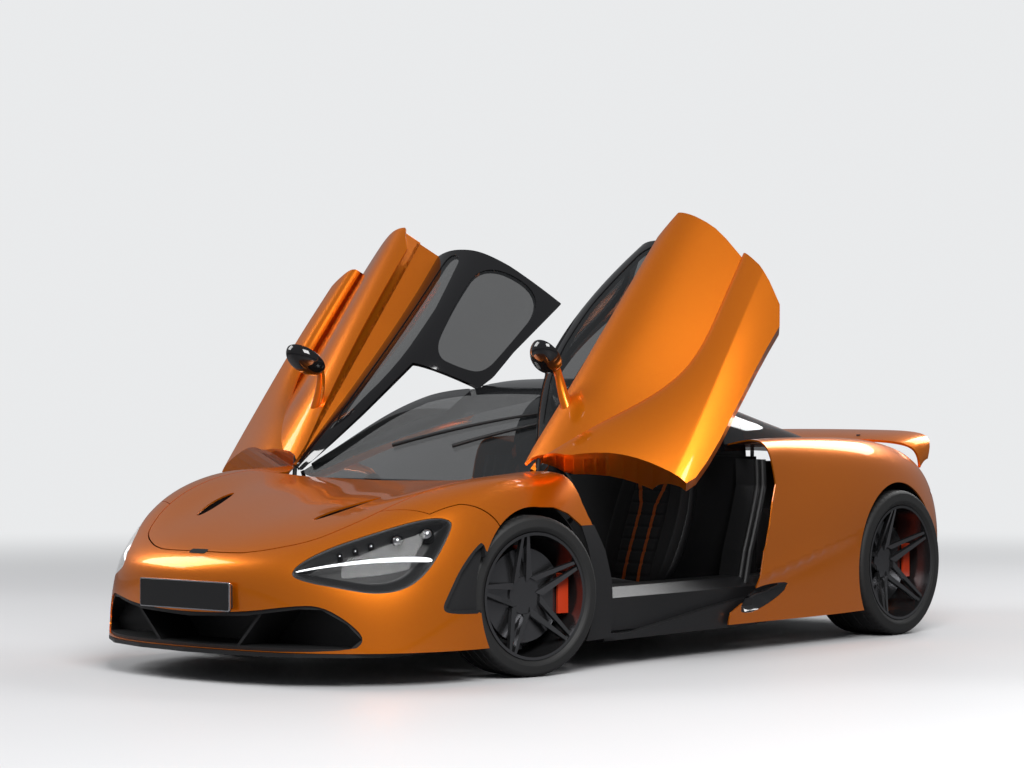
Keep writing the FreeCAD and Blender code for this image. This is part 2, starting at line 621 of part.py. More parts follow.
def glasshouse():
    """Roof frame, windscreen and rear glass."""
    thick = skin(CANOPY, 0, d.pillar_wall)
    thin = skin(CANOPY, 0, d.glass_wall)
    above = block(-1000, 1000, -1300, 2000, d.cowl_top, 1300)
    screen = prism_z(both_sides(SCREEN_PLAN), 600, 1300)
    front = prism_z(both_sides(PILLAR_PLAN), 600, 1300)
    spine = prism_z(both_sides([(0, -300)] + SPINE_EDGE + [(0, 430)]), 900, 1300)
    rear_edge = [(x, y + d.panel_gap) for x, y in ROOF_REAR]
    hoop = prism_z(both_sides([(0, rear_edge[0][1])] + rear_edge + [(860, 659), (0, 659)]), 860, 1300)
    frame = thick.common(front.fuse([spine, hoop, block(-45, 45, 400, 500, 900,
                                                        1300)]).cut(screen)).common(above)
    door_swing = about_hinge(PILLAR_SWING, -10, 155)
    add("roof_frame", Part.makeCompound(solids_of(frame.cut(both_ends(door_swing)))))
    glass = prism_z(grown(both_sides(SCREEN_PLAN), -d.seat_gap), 600, 1300)
    add("windscreen", thin.common(glass).common(above))
    rear = prism_z(grown(both_sides(REAR_GLASS_PLAN), -d.seat_gap), 850, 1300)
    add("rear_screen", thin.common(rear))


def above_line(line, rise=0.0):
    """Everything beside the cabin that lies above a line (y, z)."""
    low = [(y, z + rise) for y, z in line]
    return prism_x(low + [(line[-1][0], 1500), (line[0][0], 1500)], -100, 1200)


def door_parts(side, name):
    """One door: painted panel with its air channel, glass, black frame with its card, and the mirror."""
    upper_net = strip_net(UPPER_COLUMNS, UPPER_ROWS, ("belt", "brow", "ridge", "face", "tuck"))
    blade_net = strip_net(BLADE_COLUMNS, BLADE_ROWS, ("lip", "round", "swell", "crease", "under", "foot"),
                          "crease")
    outline = door_outline()
    upper = filled_to_x(upper_net, d.door_inner - 60)
    blade = filled_to_x(blade_net, d.door_inner - 60)
    panel = upper.fuse(blade).common(prism_x(outline, d.door_inner, 1100))
    channel = filled_to_x(offset_net(upper_net, d.door_edge_wall), d.door_inner - 100)
    panel = panel.cut(channel.common(above_line(SHELF_TOP)))
    sill_room = block(0, d.sill_outer + d.panel_gap, -1000, 700, 0, d.sill_top + d.panel_gap)
    shelf = above_line(SHELF_TOP, -d.door_shelf_wall).cut(above_line(SHELF_TOP))
    shelf = shelf.common(prism_z([(742, -905), (738, -836), (692, -449), (655, -60), (628, 320), (626, 485),
                                  (752, 485),
                                  (752, -905)], 700, 1000))
    pin = rod(hinge_point(-112), hinge_point(-56), d.hinge_pin_radius)
    arm = rod(hinge_point(-60), V(775, -835, 815), 10)
    panel = joined(panel.cut(sill_room), shelf, pin, arm)
    add("door_" + name, placed(panel, side), door_placement(side))

    plan = prism_z(door_plan(), 780, 1300)
    window = [(330, -215), (485, -225), (500, 100), (465, 425), (120, 415), (200, -20), (235, -175)]
    side_light = prism_x([(-690, 896), (-600, 945), (-330, 1080), (0, 1120), (300, 1115), (440, 1065),
                          (440, 1012),
                          (300, 1002), (0, 976), (-450, 924)], 560, 1000)
    roof_light = prism_z(window, 1060, 1300)
    own_room = filled_to_x(offset_net(upper_net, -0.4), d.door_inner - 60)
    own_room = own_room.common(block(d.door_inner - d.seat_gap, 1100, -1200, 800, 0, 1300))
    ring = skin(CANOPY, 0, d.door_ring_wall).common(plan).common(above_line(SHELF_TOP, d.seat_gap))
    ring = ring.cut(own_room).cut(side_light).cut(roof_light).cut(rod(hinge_point(790), hinge_point(935),
                                                                      24))
    card = prism_x(grown(outline, -25), d.door_inner - d.door_card_wall, d.door_inner)
    card = card.cut(sill_room).cut(above_line(SHELF_TOP, -d.door_shelf_wall - d.seat_gap))
    frame = Part.makeCompound(solids_of(ring) + solids_of(card))
    add("door_frame_" + name, placed(frame, side), door_placement(side))
    glass = skin(CANOPY, 0, d.glass_wall)
    lights = glass.common(side_light).fuse(glass.common(roof_light))
    add("door_glass_" + name, placed(lights, side), door_placement(side))

    foot, neck, top = V(775, -610, 800), V(838, -505, 925), V(905, -470, 975)
    stalk = Part.makeLoft([Part.Wire(Part.makeCircle(27, foot, neck - foot)),
                           Part.Wire(Part.makeCircle(19, neck, top - foot)),
                           Part.Wire(Part.makeCircle(17, top, top - neck))], True)
    head = Part.makeSphere(64, V(0, 0, 0))
    stretch = FreeCAD.Matrix()
    stretch.scale(1.55, 0.85, 0.85)
    head = head.transformGeometry(stretch)
    head.translate(V(955, -500, 985))
    mirror = stalk.fuse(head).cut(own_room)
    add("mirror_" + name, placed(mirror, side), door_placement(side))


def placed(shape, side):
    return shape if side == LEFT else mirrored(shape)


def door_placement(side):
    """Turns a closed door up about its hinge line."""
    low = V(side * HINGE_LOW.x, HINGE_LOW.y, HINGE_LOW.z)
    axis = V(side * HINGE_DIRECTION.x, HINGE_DIRECTION.y, HINGE_DIRECTION.z)
    return FreeCAD.Placement(V(0, 0, 0), FreeCAD.Rotation(axis, -side * d.door_open_deg), low)


def revolved(profile):
    """A closed profile (r, x) turned about the wheel's own axle."""
    points = [V(x, 0, r) for r, x in profile]
    return Part.Face(Part.makePolygon(points + [points[0]])).revolve(V(0, 0, 0), X_AXIS, 360)


def wheel(name, side, axle_y, track, tyre_radius, tyre_width, rim_radius, placement):
    """A tyre, and its rim with five double-ribbed spokes that dish in to the hub."""
    centre = V(side * track / 2, axle_y, tyre_radius)
    half = tyre_width / 2
    bead, seat = rim_radius + d.seat_gap, half - 14
    tyre = revolved([(bead, -seat), (tyre_radius, 22 - half), (tyre_radius, half - 22), (bead, seat)])
    add("tyre_" + name, as_placed(tyre, side, centre), placement)

    inner = rim_radius - d.rim_wall
    lip = seat - 8
    barrel = revolved([(inner, -seat), (rim_radius, -seat), (rim_radius, seat), (inner, seat)])
    dish = revolved([(d.hub_radius - 10, d.hub_face), (inner + 3, lip), (inner + 3, lip - d.spoke_thick),
                     (d.hub_radius - 10, d.hub_face - d.spoke_thick)])
    foot_offset, root_radius, root_offset = 13.0, 74.0, 35.0
    foot_half, root_half = 6.5, 9.0
    ribs = []
    for i in range(5):
        for lean in (-1, 1):
            outline = [(lean * foot_offset - foot_half, inner + 3),
                       (lean * foot_offset + foot_half, inner + 3),
                       (lean * root_offset + root_half, root_radius),
                       (lean * root_offset - root_half * 2, root_radius - 22)]
            points = [V(-60, y, z) for y, z in outline]
            rib = Part.Face(Part.makePolygon(points + [points[0]])).extrude(V(260, 0, 0))
            rib.rotate(V(0, 0, 0), X_AXIS, 72 * i + 10)
            ribs.append(rib)
    spokes = dish.common(ribs[0].fuse(ribs[1:]))
    hub = Part.makeCylinder(d.hub_radius, d.hub_face + 30, V(-30, 0, 0), X_AXIS)
    flange = Part.makeCylinder(d.hub_radius + 18, d.spoke_thick, V(d.hub_face - d.spoke_thick, 0, 0),
                               X_AXIS)
    disc = Part.makeCylinder(d.disc_radius, d.disc_thick, V(0, 0, 0), X_AXIS)
    bore = Part.makeCylinder(d.spindle_radius + d.pin_clearance, 62, V(-31, 0, 0), X_AXIS)
    rim = joined(barrel, spokes, hub, flange, disc).cut(bore)
    add("rim_" + name, as_placed(rim, side, centre), placement)


def as_placed(shape, side, centre):
    """A left-hand wheel-side shape moved to a corner of the car."""
    shape = shape.copy() if side == LEFT else mirrored(shape)
    shape.translate(centre)
    return shape


def knuckle(side, axle_y, track, tyre_radius, steered):
    """An upright with its spindle and brake caliper."""
    centre = V(side * track / 2, axle_y, tyre_radius)
    spindle = Part.makeCylinder(d.spindle_radius, 150, V(-120, 0, 0), X_AXIS)
    upright = block(-110, -50, -60, 60, -150, 150)
    bridge = block(-70, -50, 40, 222, -80, 80)
    caliper = block(-60, -d.panel_gap, 96, 222, -80, 80).fuse(block(-60, 44, 168, 222, -80, 80))
    slot = Part.makeCylinder(d.disc_radius + d.panel_gap, d.disc_thick + 2 * d.panel_gap,
                             V(-d.panel_gap, 0, 0), X_AXIS)
    parts = joined(upright, bridge, caliper).cut(slot)
    parts = joined(parts, spindle)
    if steered:
        pin_reach = d.wishbone_reach + d.wishbone_thick + 4
        for low, high in ((146, pin_reach), (-pin_reach, -146)):
            pin = cylinder_z(-d.kingpin_offset, 0, d.kingpin_radius, low, high)
            shelf_low = 134 if low > 0 else -162
            shelf = block(-100, -d.kingpin_offset + 14, -25, 25, shelf_low, shelf_low + 28)
            parts = joined(parts, pin, shelf)
    return as_placed(parts, side, centre)


def steer_placement(side):
    """Turns a front corner about its kingpin to the lock at which the car stands."""
    kingpin = V(side * (d.front_track / 2 - d.kingpin_offset), d.front_axle_y, 0)
    return FreeCAD.Placement(V(0, 0, 0), FreeCAD.Rotation(Z_AXIS, d.steer_rest_deg), kingpin)


def corners():
    for side, name in ((LEFT, "left"), (RIGHT, "right")):
        turn = steer_placement(side)
        wheel("front_" + name, side, d.front_axle_y, d.front_track, d.front_tyre_radius, d.front_tyre_width,
              d.front_rim_radius, turn)
        wheel("rear_" + name, side, d.rear_axle_y, d.rear_track, d.rear_tyre_radius, d.rear_tyre_width,
              d.rear_rim_radius, None)
        add("knuckle_front_" + name, knuckle(side, d.front_axle_y, d.front_track, d.front_tyre_radius,
                                             True), turn)
    add("rear_knuckles", Part.makeCompound(
        [knuckle(side, d.rear_axle_y, d.rear_track, d.rear_tyre_radius, False) for side in (LEFT, RIGHT)]))


def suspension():
    """Front and rear subframes with their wishbones and half shafts."""
    half = []
    rail = box("front_rail", ("330", "385"), ("-1955", "sizes.toe_y - sizes.seat_gap"), ("200", "262"))
    tower = box("front_tower", ("330", "385"), ("sizes.front_axle_y - 60", "sizes.front_axle_y + 60"),
                ("200", "550"))
    half += [rail, tower]
    eye_x = "sizes.front_track / 2 - sizes.kingpin_offset"
    thick = d.wishbone_thick
    bores = []
    for place, sign in (("upper", 1), ("lower", -1)):
        middle = f"sizes.front_tyre_radius + {sign} * (sizes.wishbone_reach + sizes.wishbone_thick / 2)"
        low, high = f"{middle} - sizes.wishbone_thick / 2", f"{middle} + sizes.wishbone_thick / 2"
        z = d.front_tyre_radius + sign * (d.wishbone_reach + thick / 2) - thick / 2
        x = d.front_track / 2 - d.kingpin_offset
        blade = prism_z([(365, d.front_axle_y - 50), (x, d.front_axle_y - 22), (x, d.front_axle_y + 22),
                         (365, d.front_axle_y + 50)], z, z + thick)
        half.append(shaped("wishbone_" + place, blade))
        half.append(bar("eye_" + place, "z", (eye_x, "sizes.front_axle_y"), "sizes.eye_radius", low, high))
        bores.append(bar("eye_bore_" + place, "z", (eye_x, "sizes.front_axle_y"),
                         "sizes.kingpin_radius + sizes.pin_clearance", low + " - 5", high + " + 5"))
    hanger = box("lower_hanger", ("330", "385"), ("sizes.front_axle_y - 55", "sizes.front_axle_y + 55"),
                 ("104", "205"))
    left = without("front_arms_left", fused("front_arms", *half, hanger), fused("eye_bores", *bores))
    cross = box("front_cross", ("-335", "335"), ("sizes.front_axle_y - 40", "sizes.front_axle_y + 40"),
                ("205", "255"))
    front = fused("front_subframe", left, twin("front_arms_right", left), cross)

    half = [box("rear_rail", ("350", "405"), ("sizes.bulkhead_y + sizes.bulkhead_wall", "1900"),
                ("240", "310")),
            box("rear_tower", ("350", "405"), ("sizes.rear_axle_y - 60", "sizes.rear_axle_y + 60"),
                ("240", "560"))]
    knuckle_in = "sizes.rear_track / 2 - 110"
    for place, low in (("upper", "sizes.rear_tyre_radius + 110"),
                       ("lower", "sizes.rear_tyre_radius - 102")):
        half.append(box("rear_arm_" + place, ("385", knuckle_in),
                        ("sizes.rear_axle_y - 45", "sizes.rear_axle_y + 45"),
                        (low, low + " + 22")))
    half.append(bar("half_shaft", "x", ("sizes.rear_axle_y", "sizes.rear_tyre_radius"), "26", "385",
                    knuckle_in + " - 10 - sizes.seat_gap"))
    left = fused("rear_arms_left", *half)
    cross = box("rear_cross", ("-360", "360"), ("1700", "1780"), ("245", "305"))
    rear = fused("rear_subframe", left, twin("rear_arms_right", left), cross)
    keep("suspension", grouped("suspension", front, rear))


def tub():
    """The tub: floor, sills, footwell, hinge posts, cowl and rear bulkhead."""
    top = "sizes.floor_bottom + sizes.floor_wall"
    behind = "sizes.bulkhead_y + sizes.bulkhead_wall"
    outer_foot = ("sizes.footwell_half - sizes.tub_wall", "sizes.footwell_half")
    pieces = [
        shaped("tub_sill", prism_y([(d.cabin_half - d.tub_wall, d.floor_bottom),
                                    (d.sill_outer, d.floor_bottom + 30),
                                    (d.sill_outer, d.sill_top - 40), (d.sill_outer - 60, d.sill_top),
                                    (d.cabin_half - d.tub_wall, d.sill_top)], -750, d.bulkhead_y
                                    + d.bulkhead_wall)),
        box("tub_post", ("650", "712"), ("-800", "-750"), ("sizes.floor_bottom", "sizes.cowl_top")),
        box("tub_footwell", outer_foot, ("sizes.toe_y", "-780"), ("sizes.floor_bottom", "585")),
        box("tub_wing", (outer_foot[0], "712"), ("-800", "-780"), ("sizes.floor_bottom", "585")),
        box("tub_cowl_end", ("645", "712"), ("-980", "-750"), ("sizes.cowl_top - 60", "sizes.cowl_top")),
        box("tub_hinge_foot", ("700", "745"), ("-992", "-930"), ("sizes.cowl_top - 40", "sizes.cowl_top")),
        shaped("tub_hinge_boss", rod(hinge_point(-100), hinge_point(-72), d.hinge_pin_radius
                                     + d.hinge_boss_wall)),
        shaped("tub_hood_arm", block(HOOD_HINGE_X - 33, HOOD_HINGE_X - 5, HOOD_HINGE_Y - 12, -970,
                                     d.cowl_top - 28, d.cowl_top)),
        shaped("tub_hood_riser", block(HOOD_HINGE_X - 33, HOOD_HINGE_X - 5, HOOD_HINGE_Y - 12, HOOD_HINGE_Y
                                       + 12,
                                       d.cowl_top - 28, HOOD_HINGE_Z)),
        shaped("tub_hood_eye", cylinder_x(HOOD_HINGE_Y, HOOD_HINGE_Z, 12, HOOD_HINGE_X - 33, HOOD_HINGE_X
                                          - 5)),
        box("jack_pad_front", ("760", "830"), ("-690", "-630"),
            ("sizes.floor_bottom - 8", "sizes.floor_bottom + 30")),
        box("jack_pad_rear", ("760", "830"), ("480", "540"), ("sizes.floor_bottom - 8",
                                                              "sizes.floor_bottom + 30")),
    ]
    bores = fused("tub_bores",
                  shaped("door_pin_bore", rod(hinge_point(-130), hinge_point(-40), d.hinge_pin_radius
                                              + d.pin_clearance)),
                  shaped("hood_pin_bore", cylinder_x(HOOD_HINGE_Y, HOOD_HINGE_Z, d.hood_pin_radius
                                                     + d.pin_clearance,
                                                     HOOD_HINGE_X - 60, HOOD_HINGE_X + 30)))
    left = without("tub_left", fused("tub_side", *pieces), bores)
    foot_half = "sizes.footwell_half"
    cowl = [(d.toe_y, 600), (d.toe_y, 640), (-980, 700), (-980, d.cowl_top), (-940, d.cowl_top),
            (-940, 682), (-1000, 650)]
    middle = [
        box("tub_floor", ("-sizes.cabin_half", "sizes.cabin_half"), ("-800", behind),
            ("sizes.floor_bottom", top)),
        box("tub_toe", ("-" + foot_half, foot_half), ("sizes.toe_y", "sizes.toe_y + sizes.tub_wall"),
            ("sizes.floor_bottom", "640")),
        box("tub_foot_floor", ("-" + foot_half, foot_half), ("sizes.toe_y", "-780"),
            ("sizes.floor_bottom", top)),
        shaped("tub_cowl", prism_x(cowl, d.tub_wall - d.footwell_half, d.footwell_half - d.tub_wall)),
        box("tub_cowl_front", ("-700", "700"), ("-980", "-940"), ("sizes.cowl_top - 60", "sizes.cowl_top")),
        box("tub_bulkhead", ("-sizes.cabin_half", "sizes.cabin_half"), ("sizes.bulkhead_y", behind),
            ("sizes.floor_bottom", "sizes.bulkhead_top")),
    ]
    doc.recompute()
    add("tub", joined(left.Shape, mirrored(left.Shape), *[piece.Shape for piece in middle]))


def interior():
    """Seats, dashboard, console and steering."""
    floor = d.floor_bottom + d.floor_wall
    centre = 370.0
    base = prism_x([(-420, floor), (130, floor), (150, 330), (60, 300), (-380, 360), (-450, 330)],
                   centre - 235, centre + 235)
    back = prism_x([(100, 230), (215, 200), (440, 760), (430, 960), (350, 970), (320, 800)],
                   centre - 212, centre + 212)
    add("seats", pair(joined(base, back)))
    dash = prism_x([(-940, 640), (-940, 735), (-820, 770), (-640, 760), (-560, 700), (-580, 640),
                    (-700, 590),
                    (-880, 600)], -640, 640)
    column_low, column_high = V(centre, -700, 655), V(centre, -505, 716)
    along = (column_high - column_low).normalize()
    run = (column_high - column_low).Length
    bore_radius = 16.0
    column = Part.makeCylinder(d.column_radius, run - 60, column_low, along)
    bore = Part.makeCylinder(bore_radius, 400, column_low - along * 20, along)
    add("dashboard", joined(dash, column).cut(bore))
    shaft = Part.makeCylinder(bore_radius - d.pin_clearance, run, column_low, along)
    boss = Part.makeCylinder(46, 34, column_high - along * 20, along)
    turn = FreeCAD.Rotation(Z_AXIS, along)
    r, w = d.steering_rim_radius, d.steering_wheel_radius
    corner_points = [V(w + a * r, 0, b * r) for a, b in ((1, 0.5), (0, 1), (-1, 0.5), (-1, -0.5), (0, -1),
                                                         (1, -0.5))]
    ring = Part.Face(Part.makePolygon(corner_points + [corner_points[0]])).revolve(V(0, 0, 0), Z_AXIS, 360)
    arms = [block(30, w, -18, 18, -6, 6) for _ in range(3)]
    for arm, angle in zip(arms, (0, 180, 270)):
        arm.rotate(V(0, 0, 0), Z_AXIS, angle)
    rim = joined(ring, *arms)
    rim.Placement = FreeCAD.Placement(column_high, turn)
    add("steering_wheel", joined(shaft, boss, rim))
    add("console", prism_x([(-560, floor), (-600, 560), (-520, 640), (-200, 420), (280, 380), (280, floor)],
                           -110, 110))


def front_inside():
    """Luggage tub, intake ducts, splitter, undertray and number plate."""
    rear = "sizes.toe_y - sizes.seat_gap"
    outer = box("luggage_outer", ("-sizes.luggage_half", "sizes.luggage_half"),
                ("sizes.luggage_front_y", rear),
                ("sizes.luggage_low", "sizes.luggage_top"))
    hollow = box("luggage_hollow", ("sizes.tub_wall - sizes.luggage_half",
                                    "sizes.luggage_half - sizes.tub_wall"),
                 ("sizes.luggage_front_y + sizes.tub_wall", rear + " - sizes.tub_wall"),
                 ("sizes.luggage_low + sizes.tub_wall", "sizes.luggage_top + 5"))
    keep("luggage_tub", without("luggage_tub", outer, hollow))

    mouth = both_sides(MOUTH)
    duct = prism_y(grown(mouth, -1), -2250, d.duct_rear_y)
    passage = prism_y(grown(mouth, -1 - d.duct_wall), -2260, d.duct_rear_y - d.duct_wall)
    blades = []
    for side in (LEFT, RIGHT):
        blade = prism_y([(side * 350, 288), (side * 368, 290), (side * 225, 142), (side * 207, 142)], -2190,
                        d.duct_rear_y)
        blades.append(blade)
    duct = duct.cut(passage).fuse(blades).cut(skin(BODY, -300, d.panel_wall + d.seat_gap))
    pocket = skin(BODY, 24, 40).common(prism_x(grown(AIR_CURTAIN, -d.seat_gap), 700, 1200))
    rim = skin(BODY, 0.5, 40).common(prism_x(grown(AIR_CURTAIN, -d.seat_gap), 700, 1200))
    rim = rim.cut(prism_x(grown(AIR_CURTAIN, -14), 600, 1300))
    pocket = joined(pocket, rim).cut(FRONT_ARCH)
    add("front_ducts", Part.makeCompound(solids_of(duct) + solids_of(pair(pocket))))
    plan = [(0, -2268), (300, -2238), (520, -2175), (689, -2056), (780, -1930), (800, -1800), (560, -1800),
            (0, -1800)]
    add("splitter", prism_z(both_sides(plan), d.splitter_low, d.splitter_low + d.splitter_wall))
    tray = box("front_tray", ("-480", "480"), ("-1800 + sizes.seat_gap", "-1000"),
               ("104", "sizes.floor_bottom - sizes.seat_gap"))
    rear_tray = box("rear_tray", ("-560", "560"),
                    ("sizes.bulkhead_y + sizes.bulkhead_wall + sizes.seat_gap",
                                                   "1900 - sizes.seat_gap"), ("150", "165"))
    slot = box("arm_slot_left", ("325", "490"), ("sizes.front_axle_y - 60", "sizes.front_axle_y + 60"),
               ("90", "130"))
    tray = without("front_tray_slotted", tray, fused("arm_slots", slot, twin("arm_slot_right", slot)))
    keep("undertray", grouped("undertray", tray, rear_tray))
    half = d.plate_width / 2
    plate = block(-half, half, d.nose_y, d.nose_y + 42, d.plate_low, d.plate_low + d.plate_height)
    add("number_plate", plate.cut(skin(BODY, -d.seat_gap, 80)))


def rear_inside(leaf):
    """Engine, diffuser, exhausts, wing, sill covers, liners and wipers."""
    engine_front = "sizes.bulkhead_y + sizes.bulkhead_wall + sizes.engine_behind_bulkhead"
    keep("engine", box("engine", ("-sizes.engine_width / 2", "sizes.engine_width / 2"),
                       (engine_front, engine_front + " + sizes.engine_length"),
                       ("sizes.engine_low", "sizes.engine_low + sizes.engine_height")))
    diffuser = prism_x([(1900, 150), (1900, 165), (2170, 300), (2200, 290), (2200, 270)], -560, 560)
    fins = [block(x - 6, x + 6, 1920, 2180, 150, 262) for x in (-420, -210, 210, 420)]
    add("diffuser", joined(diffuser, *fins))
    place = ("sizes.exhaust_x", "sizes.exhaust_z")
    pipe = bar("pipe", "y", place, "sizes.exhaust_radius", engine_front
               + " + sizes.engine_length + sizes.seat_gap", "2236")
    pipe_bore = bar("pipe_bore", "y", place, "sizes.exhaust_radius - sizes.exhaust_wall", "2000", "2300")
    left = without("pipe_left", pipe, pipe_bore)
    keep("exhausts", grouped("exhausts", left, twin("pipe_right", left)))

    rows = wing_rows(0)
    blade = closed_between(rows, lifted(rows, -WING_WALL))
    strut = cylinder_z(d.strut_x, d.strut_y, d.strut_radius, 700, 1100).cut(
        closed_between(lifted(rows, 300), lifted(rows, -4)))
    add("rear_wing", joined(blade, strut, mirrored(strut)))

    cover = [(-745, 112), (-745, 137), (-529, 139), (-276, 172), (-6, 210), (215, 235), (300, 240),
             (345, 118)]
    sill = prism_x(cover, d.sill_outer + d.seat_gap, d.sill_cover_outer)
    add("sills", Part.makeCompound(solids_of(pair(sill)) + solids_of(leaf)))
    liners = []
    for axle_y, radius, arch_radius, x_in, x_out in (
            (d.front_axle_y, d.front_tyre_radius, d.front_arch_radius, d.footwell_half + d.seat_gap, 878),
            (d.rear_axle_y, d.rear_tyre_radius, d.rear_arch_radius, 560, 882.5)):
        outer = cylinder_x(axle_y, radius, arch_radius + d.liner_gap + d.liner_wall, x_in, x_out)
        hollow = cylinder_x(axle_y, radius, arch_radius + d.liner_gap, x_in - 1, x_out + 1)
        upper = block(0, 1200, axle_y - 600, axle_y + 600, radius + 60, 1200)
        liners.append(outer.cut(hollow).common(upper))
    add("arch_liners", pair(Part.makeCompound(liners)))
    glass = spline_surface(CANOPY)
    wipers = []
    steps = 8
    for foot_v, tip_v, foot_u, tip_u in ((0.42, 0.72, 0.07, 0.19), (0.56, 0.765, 0.07, 0.17)):
        sections = []
        for step in range(steps + 1):
            share = step / steps
            u = foot_u + (tip_u - foot_u) * share
            v = foot_v + (tip_v - foot_v) * share
            radius = 9 - 4 * share
            out = glass.normal(u, v)
            out = out if out.z > 0 else out * -1
            along = (glass.value(tip_u, tip_v) - glass.value(foot_u, foot_v)).normalize()
            centre = glass.value(u, v) + out * (radius + 1)
            sections.append(Part.Wire(Part.makeCircle(radius, centre, along)))
        wipers.append(Part.makeLoft(sections, True, True))
    add("wipers", Part.makeCompound(wipers))


def main():
    tub()
    leaf = body_panels()
    glasshouse()
    for side, name in ((LEFT, "left"), (RIGHT, "right")):
        door_parts(side, name)
    corners()
    suspension()
    interior()
    front_inside()
    rear_inside(leaf)
    doc.recompute()
    os.makedirs("parts", exist_ok=True)
    for name, part in NODES.items():
        if "Invalid" in part.State or "Error" in part.State:
            raise RuntimeError("could not build " + name)
        if part.Shape.isNull() or not part.Shape.isValid():
            raise RuntimeError("bad shape " + name)
    for name, part in NODES.items():
        part.Shape.exportStep(f"parts/{name}.step")


main()
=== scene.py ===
# %% [markdown]
# A low mid-engined two-seat car in metallic orange, standing with both doors swung up.
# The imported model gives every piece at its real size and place. What shows most is glossy
# and curved, and there a small error in a normal bends every reflection. So this script
# works the visible skins out again as smooth spline surfaces, with exact normals, and gives
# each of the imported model's other pieces a finish.

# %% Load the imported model
import json
import math

import bpy
import numpy as np
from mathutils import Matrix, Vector


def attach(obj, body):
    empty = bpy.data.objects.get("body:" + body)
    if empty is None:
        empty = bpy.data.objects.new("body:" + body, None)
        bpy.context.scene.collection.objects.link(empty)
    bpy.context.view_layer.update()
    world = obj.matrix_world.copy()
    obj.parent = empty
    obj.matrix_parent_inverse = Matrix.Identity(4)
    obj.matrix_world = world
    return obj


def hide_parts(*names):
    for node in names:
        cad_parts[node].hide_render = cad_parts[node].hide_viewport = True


MM = 1000.0  # millimetres in a metre: outlines are written in one, meshes in the other

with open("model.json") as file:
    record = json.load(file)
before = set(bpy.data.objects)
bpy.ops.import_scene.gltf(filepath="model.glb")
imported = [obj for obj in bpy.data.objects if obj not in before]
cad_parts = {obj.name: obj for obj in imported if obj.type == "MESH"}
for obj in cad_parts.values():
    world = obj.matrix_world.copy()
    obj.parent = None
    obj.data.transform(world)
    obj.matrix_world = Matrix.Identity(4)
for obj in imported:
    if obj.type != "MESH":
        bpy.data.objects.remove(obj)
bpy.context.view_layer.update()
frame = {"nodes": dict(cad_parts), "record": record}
print("pieces in the frame:", len(frame["nodes"]))

# %% [markdown]
# A material is a small graph of nodes. Written as plain maths it stays readable, so one
# class wraps a socket and turns + and * into Math nodes. One method makes any other node.

# %% Shader maths
class Value:
    """A number that changes over a surface: the output socket of a node."""

    def __init__(self, graph, socket):
        self.graph = graph
        self.socket = socket

    def maths(self, operation, other):
        return self.graph.node("ShaderNodeMath", {"operation": operation}, {0: self, 1: other})

    def __add__(self, other):
        return self.maths("ADD", other)

    def __mul__(self, other):
        return self.maths("MULTIPLY", other)

    __radd__ = __add__
    __rmul__ = __mul__


class Finish:
    """A material, or the air of the world: a graph of nodes that ends in an output."""

    def __init__(self, name, kind="materials", output="ShaderNodeOutputMaterial"):
        self.block = getattr(bpy.data, kind).new(name)
        self.block.use_nodes = True
        self.tree = self.block.node_tree
        self.tree.nodes.clear()
        self.output = self.tree.nodes.new(output)

    def node(self, kind, settings=None, inputs=None, output=0):
        """Adds a node: its settings first, then the values or links of its sockets."""
        made = self.tree.nodes.new(kind)
        for name, value in (settings or {}).items():
            setattr(made, name, value)
        for name, value in (inputs or {}).items():
            if isinstance(value, Value):
                self.tree.links.new(value.socket, made.inputs[name])
            else:
                made.inputs[name].default_value = value
        return Value(self, made.outputs[output])

    def place(self):
        """The point on the object, in metres."""
        return self.node("ShaderNodeTexCoord", output="Object")

    def noise(self, scale, detail=2.0):
        inputs = {"Vector": self.place(), "Scale": scale, "Detail": detail}
        return self.node("ShaderNodeTexNoise", inputs=inputs)

    def cells(self, scale, output="Color"):
        """Cells, scale of them to a metre: each one's own colour, or the distance to its middle."""
        inputs = {"Vector": self.place(), "Scale": scale}
        return self.node("ShaderNodeTexVoronoi", inputs=inputs, output=output)

    def mix(self, share, first, second):
        """first where share is 0, second where it is 1, as colours."""
        inputs = {0: share, 6: first, 7: second}
        return self.node("ShaderNodeMix", {"data_type": "RGBA"}, inputs, output=2)

    def bump(self, height, strength):
        """A bump that is one millimetre high at full strength."""
        inputs = {"Height": height, "Strength": strength, "Distance": 1.0 / MM}
        return self.node("ShaderNodeBump", inputs=inputs)

    def principled(self, **inputs):
        named = {name.replace("_", " "): value for name, value in inputs.items()}
        return self.node("ShaderNodeBsdfPrincipled", inputs=named)

    def close(self, shader):
        """Ends the graph in a shader."""
        self.tree.links.new(shader.socket, self.output.inputs["Surface"])
        return self.block

    def surface(self, **inputs):
        return self.close(self.principled(**inputs))


def rgb(red, green, blue):
    return (red, green, blue, 1.0)

# %% [markdown]
# The paint is three layers on the real car: a dark orange base, metal flakes that glitter in
# a lamp's reflection, and clear lacquer with sharp reflections. Voronoi cells finer than a
# millimetre stand for the flakes: they shift the colour a little and each leans its own way.

# %% Finishes
def paint():
    """Metallic orange under clear lacquer, with flakes of about half a millimetre."""
    f = Finish("orange_metallic")
    flakes = 1800.0
    tone = f.mix(f.cells(flakes), rgb(0.80, 0.125, 0.001), rgb(1.0, 0.30, 0.003))
    return f.surface(Base_Color=tone, Metallic=0.75, Roughness=0.30, Coat_Weight=0.7, Coat_Roughness=0.03,
                     Normal=f.bump(f.cells(flakes, "Distance"), 0.06))


def gloss_black():
    f = Finish("gloss_black")
    grain = f.noise(60.0)
    return f.surface(Base_Color=rgb(0.008, 0.008, 0.009), Roughness=0.04 * grain + 0.05, Coat_Weight=0.4)


